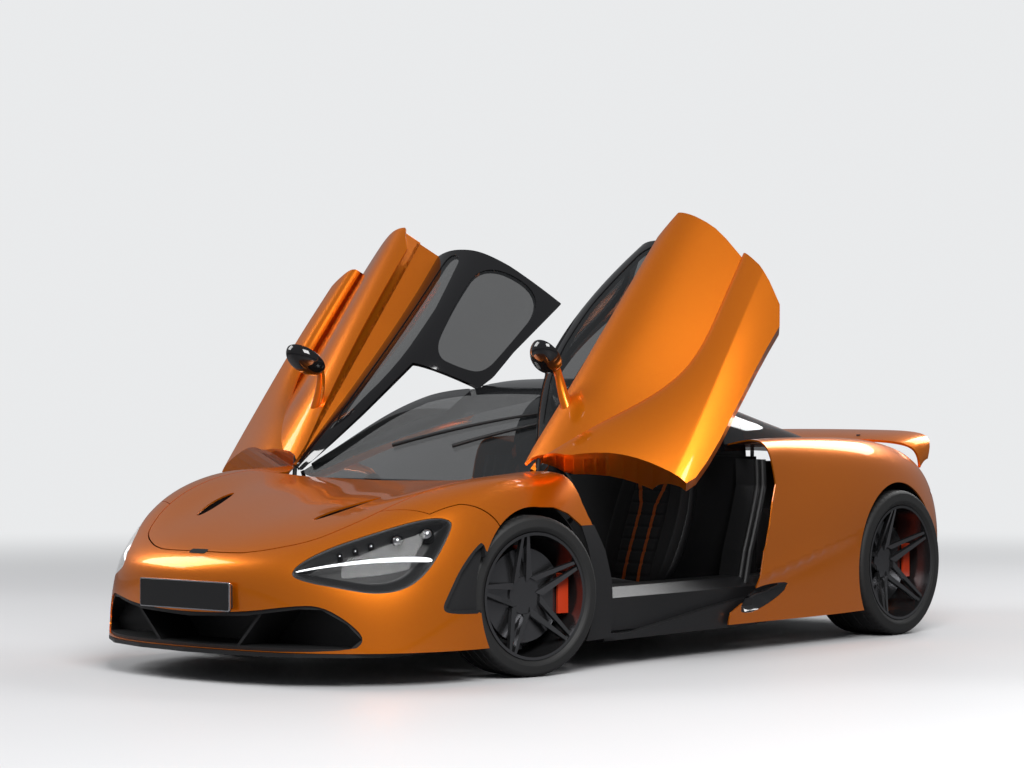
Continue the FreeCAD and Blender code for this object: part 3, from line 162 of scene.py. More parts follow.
def carbon():
    """Dark satin composite. Cells of 2 mm stand for its weave."""
    f = Finish("carbon_satin")
    weave = f.cells(420.0, "Distance")
    return f.surface(Base_Color=rgb(0.013, 0.013, 0.014), Roughness=0.2 * weave + 0.30,
                     Normal=f.bump(weave, 0.15))


def moulded(name, colour, roughness, grain=900.0, metallic=0.0):
    """A moulded or cast part: grain in its roughness and a little in its normal."""
    f = Finish(name)
    skin = f.noise(grain, 4.0)
    return f.surface(Base_Color=colour, Roughness=0.15 * skin + roughness, Metallic=metallic,
                     Normal=f.bump(skin, 0.2))


def glass(name, colour, clear):
    """Tinted glass, thin enough to show what is behind it: clear is how much light passes."""
    f = Finish(name)
    film = f.noise(3.0)
    return f.surface(Base_Color=colour, Roughness=0.01 * film, Alpha=0.02 * film + (1.0 - clear),
                     Coat_Weight=0.8)


def glow(name, colour, strength):
    """A lit light guide, a little whiter in some places than in others."""
    f = Finish(name)
    wave = f.noise(90.0)
    return f.surface(Base_Color=colour, Roughness=0.1 * wave + 0.2, Emission_Strength=strength,
                     Emission_Color=f.mix(0.2 * wave, colour, rgb(1.0, 1.0, 1.0)))


PAINT = paint()
BLACK = gloss_black()
CARBON = carbon()
MOULDING = moulded("black_moulding", rgb(0.014, 0.014, 0.015), 0.40)
RUBBER = moulded("rubber", rgb(0.018, 0.018, 0.018), 0.55, 700.0)
GUNMETAL = moulded("gunmetal", rgb(0.13, 0.13, 0.135), 0.14, 250.0, 0.9)
LEATHER = moulded("seat_leather", rgb(0.020, 0.020, 0.021), 0.50, 1200.0)
ACCENT = moulded("accent_leather", rgb(0.72, 0.14, 0.01), 0.50, 1200.0)
ENAMEL = moulded("caliper_enamel", rgb(0.60, 0.045, 0.008), 0.25, 200.0)
SCREEN_GLASS = glass("screen_glass", rgb(0.010, 0.011, 0.012), 0.34)
SIDE_GLASS = glass("side_glass", rgb(0.008, 0.009, 0.010), 0.36)
LAMP_COVER = glass("lamp_cover", rgb(0.010, 0.011, 0.012), 0.92)
SILVER = moulded("silver_trim", rgb(0.62, 0.62, 0.64), 0.12, 300.0, 1.0)
WHITE_LIGHT = glow("white_light", rgb(0.95, 0.97, 1.0), 1.8)
FINISHES = {
    "paint": PAINT,
    "gloss_black": BLACK,
    "carbon": CARBON,
    "trim_black": MOULDING,
    "frame_black": moulded("coated_steel", rgb(0.03, 0.03, 0.032), 0.35, 300.0),
    "upright": ENAMEL,
    "rim": GUNMETAL,
    "tyre": RUBBER,
    "glass": SCREEN_GLASS,
    "lamp": BLACK,
    "tail_lamp": moulded("tail_lens", rgb(0.30, 0.006, 0.006), 0.1, 40.0),
    "engine": moulded("cast_metal", rgb(0.25, 0.25, 0.26), 0.45, 120.0, 0.8),
    "exhaust": moulded("brushed_steel", rgb(0.45, 0.45, 0.47), 0.25, 400.0, 0.9),
    "seat": LEATHER,
    "interior": moulded("soft_dash", rgb(0.016, 0.016, 0.017), 0.55, 1500.0),
    "plate": moulded("plate_blank", rgb(0.010, 0.010, 0.011), 0.30, 200.0),
}
SLOT_OF = {part["node"]: part["material_slot"] for part in frame["record"]["subparts"]}
for node_name, cad_object in frame["nodes"].items():
    for material_slot in cad_object.material_slots:
        material_slot.material = FINISHES[SLOT_OF[node_name]]
print("finishes:", len(FINISHES))

# %% [markdown]
# Every large skin is a spline surface: a grid of control points that the surface is drawn
# to, as a designer pulls a panel into shape. Its point is a weighted sum of control points,
# and so are its two slopes, whose cross product is the exact normal.

# %% Spline surfaces
def spline_weights(count, places):
    """Weights of count control points at each place s in 0..1, and their slopes. A weight of
    degree p blends two of degree p - 1 by the knots k: (s - k_i) / (k_i+p - k_i) B_i
    + (k_i+p+1 - s) / (k_i+p+1 - k_i+1) B_i+1."""
    knots = np.concatenate([np.zeros(3), np.linspace(0.0, 1.0, count - 2), np.ones(3)])
    s = np.clip(places, 0.0, 1.0 - 1e-9)[:, None]
    level = ((s >= knots[:-1]) & (s < knots[1:])).astype(float)
    for degree in (1, 2, 3):
        starts, ends = knots[:-degree - 1], knots[degree + 1:]
        rise, fall = knots[degree:-1] - starts, ends - knots[1:-degree]
        rise, fall = np.where(rise > 0, rise, 1.0), np.where(fall > 0, fall, 1.0)
        slope = degree * (level[:, :-1] / rise - level[:, 1:] / fall)
        level = (s - starts) / rise * level[:, :-1] + (ends - s) / fall * level[:, 1:]
    return level, slope


def grid_faces(rows, columns):
    """Triangles of a grid of points, two to a cell."""
    corner = np.arange(rows * columns).reshape(rows, columns)
    a, b, c, d = corner[:-1, :-1], corner[1:, :-1], corner[1:, 1:], corner[:-1, 1:]
    return np.concatenate([np.stack([a, b, c], -1), np.stack([a, c, d], -1)]).reshape(-1, 3)


class Skin:
    """A surface as arrays: points, outward normals, and triangles of point numbers."""

    def __init__(self, points, normals, faces):
        self.points, self.normals, self.faces = points, normals, faces

    def kept(self, rule):
        """The part where rule(points) is below zero. A triangle on the line is cut there, and
        neighbours share the new points: p + s (q - p) with s = v_p / (v_p - v_q)."""
        value = rule(self.points)
        inside = value < 0
        count = inside[self.faces].sum(axis=1)
        pairs, groups = [], []
        for wanted, lone_inside in ((1, True), (2, False)):
            some = self.faces[count == wanted]
            lone = np.argmax(inside[some] == lone_inside, axis=1)
            a, b, c = np.take_along_axis(some, (lone[:, None] + np.arange(3)) % 3, axis=1).T
            pairs += [np.sort(np.stack([a, b], 1), axis=1), np.sort(np.stack([a, c], 1), axis=1)]
            groups.append((a, b, c))
        ends = np.concatenate(pairs)
        total = len(self.points)
        keys, which = np.unique(ends[:, 0] * total + ends[:, 1], return_inverse=True)
        p, q = keys // total, keys % total
        share = (value[p] / (value[p] - value[q]))[:, None]
        points, normals = (np.concatenate([known, known[p] + share * (known[q] - known[p])])
                           for known in (self.points, self.normals))
        cut = np.split(which.reshape(-1) + total, np.cumsum([len(pair) for pair in pairs])[:-1])
        (a1, b1, c1), (a2, b2, c2) = groups
        faces = np.concatenate([
            self.faces[count == 3], np.stack([a1, cut[0], cut[1]], 1),
            np.stack([cut[2], b2, c2], 1), np.stack([cut[2], c2, cut[3]], 1)])
        used, faces = np.unique(faces, return_inverse=True)
        return Skin(points[used], unit(normals[used]), faces.reshape(-1, 3))

    def cut(self, rule):
        """What is left outside the rule."""
        return self.kept(lambda points: -rule(points))

    def moved(self, depth):
        """Every point moved inwards along its normal by depth, a number or one for each point."""
        return Skin(self.points - self.normals * np.reshape(depth, (-1, 1)), self.normals, self.faces)

    def mirrored(self):
        flip = np.array([-1.0, 1.0, 1.0])
        return Skin(self.points * flip, self.normals * flip, self.faces[:, ::-1])

    def faced(self, axis, way):
        """Every normal turned to one side along an axis; the triangles stay as they are."""
        return Skin(self.points, self.normals * way * np.sign(self.normals[:, axis:axis + 1]), self.faces)

    def turned(self, start, axis, angle):
        """Turned about a line: v cos(a) + (k x v) sin(a) + k (k . v)(1 - cos(a))."""
        def spin(v):
            return (v * math.cos(angle) + np.cross(axis, v) * math.sin(angle)
                    + np.outer(v @ axis, axis) * (1 - math.cos(angle)))
        return Skin(spin(self.points - start) + start, spin(self.normals), self.faces)

    def open_edges(self):
        """Point pairs along the edges that only one triangle has."""
        edges = np.concatenate([self.faces[:, [0, 1]], self.faces[:, [1, 2]], self.faces[:, [2, 0]]])
        total = len(self.points)
        return edges[~np.isin(edges[:, 0] * total + edges[:, 1], edges[:, 1] * total + edges[:, 0])]

    def band(self, inner_points):
        """A strip from every open edge to its place in inner_points; it faces away from the surface."""
        edges = self.open_edges()
        side = np.cross(self.points[edges[:, 1]] - self.points[edges[:, 0]], self.normals[edges[:, 0]])
        facing = np.zeros_like(self.points)
        np.add.at(facing, edges[:, 0], side)
        np.add.at(facing, edges[:, 1], side)
        rim, edges = np.unique(edges, return_inverse=True)
        a, b = edges.reshape(-1, 2).T
        points = np.concatenate([self.points[rim], inner_points[rim]])
        normals = unit(np.concatenate([facing[rim], facing[rim]]))
        count = len(rim)
        return Skin(points, normals, np.concatenate([np.stack([b, a, a + count], 1),
                                                     np.stack([b, a + count, b + count], 1)]))

    def walled(self, depth):
        """The surface with a wall: a second one depth inside it, and a band round their edges."""
        inner = self.points - self.normals * depth
        return together(self, Skin(inner, -self.normals, self.faces[:, ::-1]), self.band(inner))


def unit(vectors):
    return vectors / np.maximum(np.linalg.norm(vectors, axis=-1, keepdims=True), 1e-12)


def together(*skins):
    """Several surfaces as one."""
    starts = np.cumsum([0] + [len(skin.points) for skin in skins[:-1]])
    return Skin(np.concatenate([skin.points for skin in skins]),
                np.concatenate([skin.normals for skin in skins]),
                np.concatenate([skin.faces + start for skin, start in zip(skins, starts)]))


def both(skin):
    return together(skin, skin.mirrored())


def sided(skin, side_name):
    """A left-hand surface, or its mirror image for the right side."""
    return skin if side_name == "left" else skin.mirrored()


def resurfaced(skin):
    """The same points with normals from their triangles: the sum of each (b - a) x (c - a)."""
    a, b, c = (skin.points[skin.faces[:, i]] for i in range(3))
    facing = np.cross(b - a, c - a)
    total = np.zeros_like(skin.points)
    for i in range(3):
        np.add.at(total, skin.faces[:, i], facing)
    return Skin(skin.points, unit(total), skin.faces)


def spline_skin(net, rows, columns):
    """The surface on a net of control points, as a grid of rows x columns points: P = A net B,
    with the weights A along the net and B across it. Its normal is dP/du x dP/dv."""
    a, a_slope = spline_weights(net.shape[0], np.linspace(0.0, 1.0, rows))
    b, b_slope = spline_weights(net.shape[1], np.linspace(0.0, 1.0, columns))
    points, along, across = (np.einsum("ri,ijk,cj->rck", u, net, v).reshape(-1, 3)
                             for u, v in ((a, b), (a_slope, b), (a, b_slope)))
    return Skin(points, unit(np.cross(along, across)), grid_faces(rows, columns))


def grid_skin(point_at, rows, columns):
    """A surface from a function of two numbers in 0..1. Its normal is the cross product of the
    steps to the neighbouring points."""
    u, v = np.meshgrid(np.linspace(0, 1, rows), np.linspace(0, 1, columns), indexing="ij")
    points = point_at(u, v)
    normals = unit(np.cross(np.gradient(points, axis=0), np.gradient(points, axis=1)))
    return Skin(points.reshape(-1, 3), normals.reshape(-1, 3), grid_faces(rows, columns))


def piece(name, skin, finish, body, slot, *nodes):
    """Puts a surface into Blender as a piece that rides on a body and stands for CAD nodes."""
    mesh = bpy.data.meshes.new(name)
    mesh.from_pydata(skin.points.tolist(), [], skin.faces.tolist())
    mesh.polygons.foreach_set("use_smooth", np.ones(len(mesh.polygons), dtype=bool))
    mesh.normals_split_custom_set_from_vertices(skin.normals.tolist())
    mesh.materials.append(finish)
    made = bpy.data.objects.new(name, mesh)
    bpy.context.collection.objects.link(made)
    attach(made, body)
    if nodes:
        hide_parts(*nodes)
    print(name, len(skin.faces), "triangles")
    return made


PANEL_WALL = 0.007


def panel(name, skin, body, node):
    """A painted panel with its wall, in place of one CAD node."""
    piece(name, skin.walled(PANEL_WALL), PAINT, body, "paint", node)

# %% [markdown]
# Panels, openings and windows are cut from the skins by outlines, as a shear cuts sheet
# metal. A rule gives each point's distance to an outline, below zero inside it, so rules
# join by the smaller value and cross by the larger one.

# %% Outlines as rules
def distance(outline, a, b):
    """Metres from each point (a, b) to a closed outline in millimetres, negative inside it."""
    corners = np.array(outline, float) / MM
    nearest = np.full(a.shape, 1e9)
    enclosed = np.zeros(a.shape, bool)
    for (a0, b0), (a1, b1) in zip(corners, np.roll(corners, -1, axis=0)):
        da, db = a1 - a0, b1 - b0
        share = np.clip(((a - a0) * da + (b - b0) * db) / max(da * da + db * db, 1e-12), 0.0, 1.0)
        nearest = np.minimum(nearest, np.hypot(a - a0 - share * da, b - b0 - share * db))
        enclosed ^= ((b0 > b) != (b1 > b)) & (a < a0 + (b - b0) * da / (db if abs(db) > 1e-12 else 1e-12))
    return np.where(enclosed, -nearest, nearest)


def eased(outline, rounds=3):
    """An outline with its corners rounded: each round puts points at 1/4 and 3/4 of every side."""
    points = np.array(outline, float)
    for _ in range(rounds):
        following = np.roll(points, -1, axis=0)
        points = np.stack([0.75 * points + 0.25 * following, 0.25 * points + 0.75 * following], 1)
        points = points.reshape(-1, points.shape[-1])
    return points


def whole(outline):
    """A left-hand plan outline that starts and ends on the centre line, with its mirror image."""
    return list(outline) + [(-x, y) for x, y in outline[::-1] if abs(x) > 1e-6]


def seen_along(a, b):
    """Makes rules from outlines in two of the axes; growth moves an outline outwards."""
    return lambda outline, growth=0.0: lambda p: distance(outline, p[:, a], p[:, b]) - growth / MM


plan, side, front = seen_along(0, 1), seen_along(1, 2), seen_along(0, 2)


def within(x):
    """Everything nearer than x to the centre plane."""
    return lambda p: np.abs(p[:, 0]) - x / MM


def beyond(x):
    return lambda p: x / MM - np.abs(p[:, 0])


def ahead_of(y):
    """Everything nearer to the nose than y."""
    return lambda p: p[:, 1] - y / MM


def behind(y):
    return lambda p: y / MM - p[:, 1]


def below(z):
    return lambda p: p[:, 2] - z / MM


def above(z):
    return lambda p: z / MM - p[:, 2]


def crossing(*rules):
    return lambda p: np.max([rule(p) for rule in rules], axis=0)


def joining(*rules):
    return lambda p: np.min([rule(p) for rule in rules], axis=0)


def patch(outline, z, growth=0.0):
    """An outline seen from above, over height z."""
    return crossing(plan(outline, growth), above(z))


def disc(a, b, centre, radius):
    """A round hole seen along the third axis."""
    return lambda p: np.hypot(p[:, a] - centre[0] / MM, p[:, b] - centre[1] / MM) - radius / MM


def folded(points):
    """The points, with those of the right half turned over to the left."""
    return np.abs(points * (1, 0, 0)) + points * (0, 1, 1)


def on_both(rule):
    """A rule for the left half that serves the right half too."""
    return lambda p: rule(folded(p))


def depth_rule(skin, reach, block=1500):
    """A rule that is negative under another skin: (p - q) . n for the nearest of its points q,
    worked out for a block of points at a time."""
    def rule(p):
        result = np.ones(len(p))
        low, high = skin.points.min(axis=0) - reach, skin.points.max(axis=0) + reach
        near = np.flatnonzero(np.all((p > low) & (p < high), axis=1))
        squares = (skin.points ** 2).sum(axis=1)
        for start in range(0, len(near), block):
            some = near[start:start + block]
            best = np.argmin(squares - 2.0 * p[some] @ skin.points.T, axis=1)
            result[some] = ((p[some] - skin.points[best]) * skin.normals[best]).sum(axis=1)
        return result
    return rule

# %% [markdown]
# The painted body is one skin from nose lip to tail lip. Each row of the table is one line
# of control points round the left half, and its mirror image makes the right half.

# %% Body skin
# A row: y at the middle and at the sill, the power of the sweep between them, z at the middle,
# then x, z of the valley, crest, shoulder, side, hip and foot lines.
BODY_ROWS = [
    (-2236, -1480, 1.05, 125, 490, 125, 690, 125, 825, 125, 905, 125, 940, 118, 940, 118),
    (-2254, -1470, 1.02, 250, 485, 255, 680, 258, 820, 262, 908, 262, 948, 220, 940, 118),
    (-2272, -1450, 0.95, 385, 480, 392, 662, 398, 798, 405, 902, 405, 955, 310, 940, 118),
    (-2262, -1420, 0.92, 478, 460, 485, 635, 495, 775, 515, 890, 525, 960, 400, 940, 118),
    (-2150, -1350, 0.90, 545, 430, 565, 620, 612, 765, 645, 890, 640, 960, 480, 940, 118),
    (-1900, -1300, 0.90, 640, 430, 655, 620, 715, 770, 738, 890, 715, 958, 520, 940, 118),
    (-1560, -1200, 0.90, 715, 480, 745, 650, 790, 790, 800, 895, 770, 952, 530, 940, 118),
    (-1250, -1060, 1.00, 760, 520, 770, 690, 812, 810, 826, 900, 770, 945, 520, 945, 120),
    (-980, -900, 1.00, 790, 540, 800, 705, 835, 815, 805, 890, 700, 935, 470, 945, 125),
    (-620, -620, 1.00, 805, 560, 820, 735, 852, 840, 815, 885, 690, 960, 330, 935, 130),
    (-150, -150, 1.00, 825, 580, 850, 752, 890, 860, 855, 890, 690, 960, 400, 935, 130),
    (400, 400, 1.00, 870, 595, 900, 768, 955, 880, 930, 895, 745, 965, 465, 940, 130),
    (900, 900, 1.00, 895, 590, 920, 755, 955, 878, 940, 948, 780, 978, 455, 955, 130),
    (1350, 1350, 1.00, 905, 570, 920, 735, 950, 875, 930, 962, 790, 985, 450, 955, 140),
    (1720, 1640, 1.00, 905, 530, 908, 680, 915, 822, 880, 932, 740, 970, 440, 940, 150),
    (2060, 1760, 0.90, 892, 500, 888, 630, 866, 765, 820, 872, 705, 930, 430, 910, 160),
    (2200, 1830, 0.80, 795, 520, 788, 660, 760, 775, 715, 860, 625, 905, 400, 885, 170),
    (2232, 1850, 0.80, 560, 520, 560, 680, 552, 790, 535, 860, 490, 892, 350, 872, 180),
    (2200, 1850, 0.80, 320, 520, 320, 680, 320, 785, 315, 850, 300, 880, 260, 865, 190),
]
SWEEP = (0.0, 0.02, 0.085, 0.24, 0.43, 0.64, 0.84, 1.0)


def body_net():
    """Control points of the whole skin, right sill to left sill, in metres. Along a row, y is
    y_mid + (y_low - y_mid) SWEEP^power."""
    net = []
    for y_mid, y_low, power, z_mid, *rest in BODY_ROWS:
        lines = list(zip(rest[::2], rest[1::2]))
        x_valley, z_valley = lines[0]
        half = [(0.0, z_mid), (0.5 * x_valley, 0.4 * z_mid + 0.6 * z_valley)] + lines
        left = [(x, y_mid + (y_low - y_mid) * share ** power, z) for (x, z), share in zip(half, SWEEP)]
        net.append([(-x, y, z) for x, y, z in left[:0:-1]] + left)
    return np.array(net)[:, ::-1] / MM


CREASE = [(223, 296), (484, 354), (762, 419), (1082, 485)]
FOLD_HEIGHT, FOLD_ABOVE, FOLD_BELOW = 0.013, 0.070, 0.012
HOLLOW_SHARE, HOLLOW_REACH = 0.8, 0.100


def on_line(line, a):
    """b at the places a of a line [(a, b), ...], in metres."""
    return np.interp(a, *(np.array(line, float).T / MM))


def creased(skin):
    """Raises a sharp fold on each rear quarter. With s the height over the crease line, the skin
    stands out by A e^-(s / 70 mm) above it, and below it falls back within 12 mm to a hollow that
    ends 100 mm lower. A fades in behind the door and out before the wheel."""
    y, z = skin.points[:, 1], skin.points[:, 2]
    s = z - on_line(CREASE, y)
    ends = (np.clip((y - 0.20) / 0.18, 0, 1) * np.clip((1.10 - y) / 0.40, 0, 1)
            * (np.abs(skin.points[:, 0]) > 0.7))
    under = np.minimum(s, 0.0)
    sharp = np.exp(under / FOLD_BELOW)
    fold = np.where(s > 0, np.exp(-np.maximum(s, 0.0) / FOLD_ABOVE),
                    sharp - HOLLOW_SHARE * (1.0 - sharp) * np.exp(under / HOLLOW_REACH))
    return resurfaced(skin.moved(-FOLD_HEIGHT * ends * fold))


BODY = creased(spline_skin(body_net(), 620, 400))
print("body skin:", len(BODY.faces), "triangles")

# %% [markdown]
# The glasshouse is a second skin, from the windscreen's foot over the roof to the tail. Its
# sides run down inside the doors and fenders, so no gap shows at the belt.

# %% Canopy skin
# A row: y, z at the middle, then x, y, z of the pillar line and of the belt line.
CANOPY_ROWS = [
    (-1100, 752, 660, -950, 790, 748, -905, 826),
    (-910, 880, 645, -800, 880, 726, -700, 858),
    (-620, 1050, 603, -560, 1042, 694, -450, 894),
    (-350, 1172, 552, -330, 1142, 668, -200, 926),
    (-80, 1222, 520, -90, 1186, 648, 40, 952),
    (250, 1222, 500, 240, 1184, 632, 280, 974),
    (650, 1168, 465, 640, 1126, 628, 620, 985),
    (1050, 1080, 405, 1030, 1035, 600, 950, 975),
    (1450, 985, 330, 1420, 955, 520, 1300, 940),
    (1760, 905, 270, 1700, 890, 430, 1560, 898),
]
NEAR = np.array([0.5, 0.25, 0.15])  # how far the next line lies from the middle to the pillar


def canopy_net():
    """Control points of the glasshouse, right belt to left belt, in metres."""
    net = []
    for row in CANOPY_ROWS:
        middle, pillar, belt = np.array((0.0,) + row).reshape(3, 3)
        side_bow = (pillar + belt) / 2 + (14, 0, 10)
        left = [middle, (1 - NEAR) * middle + NEAR * pillar, pillar, side_bow, belt, belt + (8, 0, -95)]
        net.append([point * (-1, 1, 1) for point in left[:0:-1]] + left)
    return np.array(net)[:, ::-1] / MM


CANOPY = spline_skin(canopy_net(), 460, 420)
print("canopy skin:", len(CANOPY.faces), "triangles")

# %% [markdown]
# The door turns about a line that leans back and inwards beside the windscreen. A point's
# place along that line and its distance out from it stay the same as the door swings, so
# one outline in these two numbers says where the fender and the pillar make room for it.

# %% Hinge line
HINGE = np.array([0.6785, -0.8976, 0.787])
HINGE_AXIS = unit(np.array([-0.5333, 0.7337, 0.4210]))
DOOR_OPEN = math.radians(71.0)
FENDER_SWING = [(-58, 34), (-50, 60), (-36, 80), (-36, 120), (-110, 200), (-126, 240), (-140, 320),
                (300, 320), (300, 34)]
PILLAR_SWING = [(-60, 27), (20, 27), (60, 36), (100, 49), (140, 63), (180, 74), (260, 100), (340, 127),
                (420, 156), (540, 198), (620, 223), (655, 223), (700, 188), (740, 148), (780, 106),
                (820, 60), (855, 18), (940, 18), (940, 340), (-60, 340)]


def hinge_places(points):
    """Place along the left hinge line, distance out from it, and angle up from the level."""
    apart = folded(points) - HINGE
    along = apart @ HINGE_AXIS
    out = apart - np.outer(along, HINGE_AXIS)
    level = unit(np.cross(HINGE_AXIS, [0.0, 0.0, 1.0]))
    upright = np.cross(level, HINGE_AXIS)
    return along, np.linalg.norm(out, axis=1), np.degrees(np.arctan2(out @ upright, out @ level))


def swing(outline, low, high):
    """A rule for what the door sweeps: inside an outline (along, out) and between two angles."""
    def rule(points):
        along, out, angle = hinge_places(points)
        value = distance(outline, along, out)
        return np.where((angle > low) & (angle < high), value, np.maximum(value, 0.001))
    return rule


def hinge_rod(low, high, radius):
    """A rule for a round bar along the hinge line."""
    def rule(points):
        along, out, _ = hinge_places(points)
        return np.max([low / MM - along, along - high / MM, out - radius / MM], axis=0)
    return rule

# %% [markdown]
# A panel's edge is drawn in the view that shows it best: from above (x, y), from the side
# (y, z), from the front (x, z) or, for the head lamp, the way that the lamp faces.

# %% Outlines of the panels
HOOD_PLAN = [(0, -2192), (200, -2184), (300, -2150), (370, -2110), (440, -2062), (500, -2003),
             (560, -1905), (600, -1825), (640, -1690), (665, -1560), (688, -1380), (700, -1240),
             (690, -1195), (640, -1165), (590, -1150), (555, -1122), (300, -1112), (0, -1122)]
BUMPER_LINE = [(470, -1860), (790, -1690), (835, -1560), (1000, -1255)]
HEADLAMP_EDGE = [(480, -2186, 462), (560, -2057, 548), (680, -1905, 609), (790, -1716, 655),
                 (840, -1638, 652), (862, -1625, 620), (880, -1753, 505), (860, -1831, 430),
                 (820, -1902, 388), (760, -1990, 384), (680, -2054, 395), (560, -2153, 428)]
MOUTH = [(0, 278), (300, 290), (520, 322), (604, 320), (690, 262), (745, 190), (700, 140), (0, 138)]
AIR_CURTAIN = [(-1500, 570), (-1570, 530), (-1650, 450), (-1700, 370), (-1740, 300), (-1700, 280),
               (-1500, 276)]
ARCH_TAIL = [(-1196, 400), (-1150, 684), (-1050, 680), (-960, 652), (-885, 602), (-860, 520), (-838, 400)]
DOOR_FRONT_TOP = (-921, 852)
DOOR_FRONT = [(-862, 825), (-838, 753), (-837, 667), (-792, 598), (-742, 494), (-716, 371), (-712, 220)]
DOOR_FOOT = [(-725, 151), (-529, 153), (-276, 189), (-6, 228), (210, 249)]
DOOR_REAR = [(358, 440), (411, 566), (480, 729), (494, 826)]
DOOR_REAR_TOP = (493, 992)
BELT_LINE = [DOOR_FRONT_TOP, (-480, 885), (-10, 934), DOOR_REAR_TOP]
SHELF_TOP = [(-925, 812), (-830, 815), (-449, 858), (0, 893), (320, 912), (500, 918)]
SCREEN_PLAN = [(0, -1200), (560, -1200), (664, -962), (568, -600), (490, -322), (250, -297), (0, -290)]
PILLAR_PLAN = [(0, -1200), (620, -1200), (700, -930), (606, -590), (532, -300), (250, -262), (0, -256)]
REAR_GLASS_PLAN = [(0, 660), (700, 660), (640, 900), (540, 1200), (400, 1480), (250, 1660), (0, 1700)]
SPINE_EDGE = [(217, -255), (181, -160), (150, 15), (45, 430)]
ROOF_REAR = [(45, 430), (350, 470), (860, 493)]
DOOR_OUTLINE = [DOOR_FRONT_TOP] + DOOR_FRONT + DOOR_FOOT + DOOR_REAR + BELT_LINE[:0:-1]
FRONT_WHEEL, REAR_WHEEL = (-1196.5, 327.0), (1473.5, 345.0)
FRONT_OPENING, REAR_OPENING = 360.0, 382.0
LAMP_FACING = unit(np.array([0.45, -0.65, 0.61]))
LAMP_RIGHT = unit(np.cross([0.0, 0.0, 1.0], LAMP_FACING))
LAMP_UP = np.cross(LAMP_FACING, LAMP_RIGHT)


def lamp_plane(points):
    """Places in the plane that the left lamp faces: right and up."""
    return folded(points) @ LAMP_RIGHT, folded(points) @ LAMP_UP


def in_lamp(points):
    """An outline in the lamp's plane, from points x, y, z."""
    return np.stack(lamp_plane(np.array(points, float)), 1)


SOFT_LAMP = eased(in_lamp(HEADLAMP_EDGE))


def lamp(growth=0.0, outline=SOFT_LAMP):
    """A rule for an outline that is seen the way that the lamp faces."""
    return crossing(ahead_of(-1200), lambda p: distance(outline, *lamp_plane(p)) - growth / MM)


SOFT_DOOR = eased(DOOR_OUTLINE, 1)
SOFT_HOOD = eased(whole(HOOD_PLAN), 2)
FORWARD = ahead_of(-1050)
DOOR_ROOM = crossing(beyond(560), side(SOFT_DOOR, 4.0))
WHEELS = crossing(beyond(500), joining(disc(1, 2, FRONT_WHEEL, FRONT_OPENING),
                                       disc(1, 2, REAR_WHEEL, REAR_OPENING), side(ARCH_TAIL)))
UNDER_CANOPY = depth_rule(spline_skin(canopy_net(), 150, 140), 0.02)

# %% [markdown]
# The hood's shut line is a 5 mm gap and most other seams are 3 mm wide. Behind the front wheel
# and in the mouth the skin stops, and dark pieces take over.

# %% Hood, bumper and fenders
HOOD_GAP, SEAM = 2.5, 1.5  # half of each
VENT_RIM, VENT_DEPTH, VENT_SLOPE = 0.010, 0.012, 0.02
VENT_EDGE = [(322, -1880), (352, -1880), (392, -1800), (428, -1690), (440, -1590), (424, -1580),
             (372, -1680), (330, -1800)]
hood = BODY.kept(crossing(plan(SOFT_HOOD, -HOOD_GAP), FORWARD))
vents = on_both(plan(eased(VENT_EDGE)))
panel("hood_skin", hood.cut(vents), "hood", "hood")
vent_floor = hood.kept(on_both(plan(eased(VENT_EDGE), 4.0)))
vent_depth = VENT_RIM + VENT_DEPTH * np.clip(-vents(vent_floor.points) / VENT_SLOPE, 0, 1)
piece("hood_vents", vent_floor.moved(vent_depth), BLACK, "hood", "trim_black")

AHEAD = whole([(0, -3000), (1100, -3000), (1100, BUMPER_LINE[-1][1])] + BUMPER_LINE[::-1]
              + [(0, BUMPER_LINE[0][1])])
BEHIND = whole([(0, BUMPER_LINE[0][1])] + BUMPER_LINE
               + [(1100, -700), (708, -700), (708, -930), (600, -1080), (600, -1300), (0, -1300)])
rest = BODY.cut(plan(SOFT_HOOD, HOOD_GAP))
mouth = crossing(front(eased(whole(MOUTH), 2)), ahead_of(-1850))
curtain = crossing(beyond(700), side(eased(AIR_CURTAIN, 2)))
bumper = rest.kept(crossing(plan(AHEAD, -SEAM), FORWARD))
bumper = bumper.cut(joining(lamp(), mouth, curtain, WHEELS)).kept(above(137))
panel("bumper_skin", bumper, "body", "front_bumper")

trim = crossing(beyond(800), side([(-1000, 600), (-700, 600), (-700, 60), (-1000, 60)]))
fenders = rest.kept(crossing(plan(BEHIND, -SEAM), above(100)))
fenders = fenders.cut(joining(lamp(), curtain, WHEELS, DOOR_ROOM))
fenders = fenders.cut(joining(trim, hinge_rod(-140, 20, 34), swing(FENDER_SWING, -75, 150), UNDER_CANOPY))
panel("fender_skins", fenders, "body", "front_fenders")

# %% [markdown]
# The tail is cut from the same skin: quarters at the sides, the deck between them and a bumper
# below. A leaf-shaped inlet sinks into each quarter, and the lamps lie in a slit.

# %% Quarters, deck and tail
QUARTER_NOSE = [(100, 100), (110, 180), (300, 270), (340, 390), (395, 552), (499, 740), (499, 1020),
                (665, 1020), (665, 100)]
TAIL = [(1990, 560), (2400, 560), (2400, 0), (1830, 0), (1880, 300)]
WING_ROOM = [(0, 1985), (330, 1988), (625, 1995), (709, 2025), (760, 2060), (760, 2400), (0, 2400)]
LAMP_SLIT = [(520, 700), (900, 668), (900, 650), (520, 680)]
LEAF = [(168, 183), (214, 242), (289, 283), (428, 300), (568, 298), (490, 245), (366, 198), (259, 173)]
DECK_HALF = 600.0
EXHAUST, EXHAUST_HOLE = (110, 612), 48.5
INLET_RIM, INLET_DEPTH, INLET_SLOPE = 0.002, 0.034, 0.030


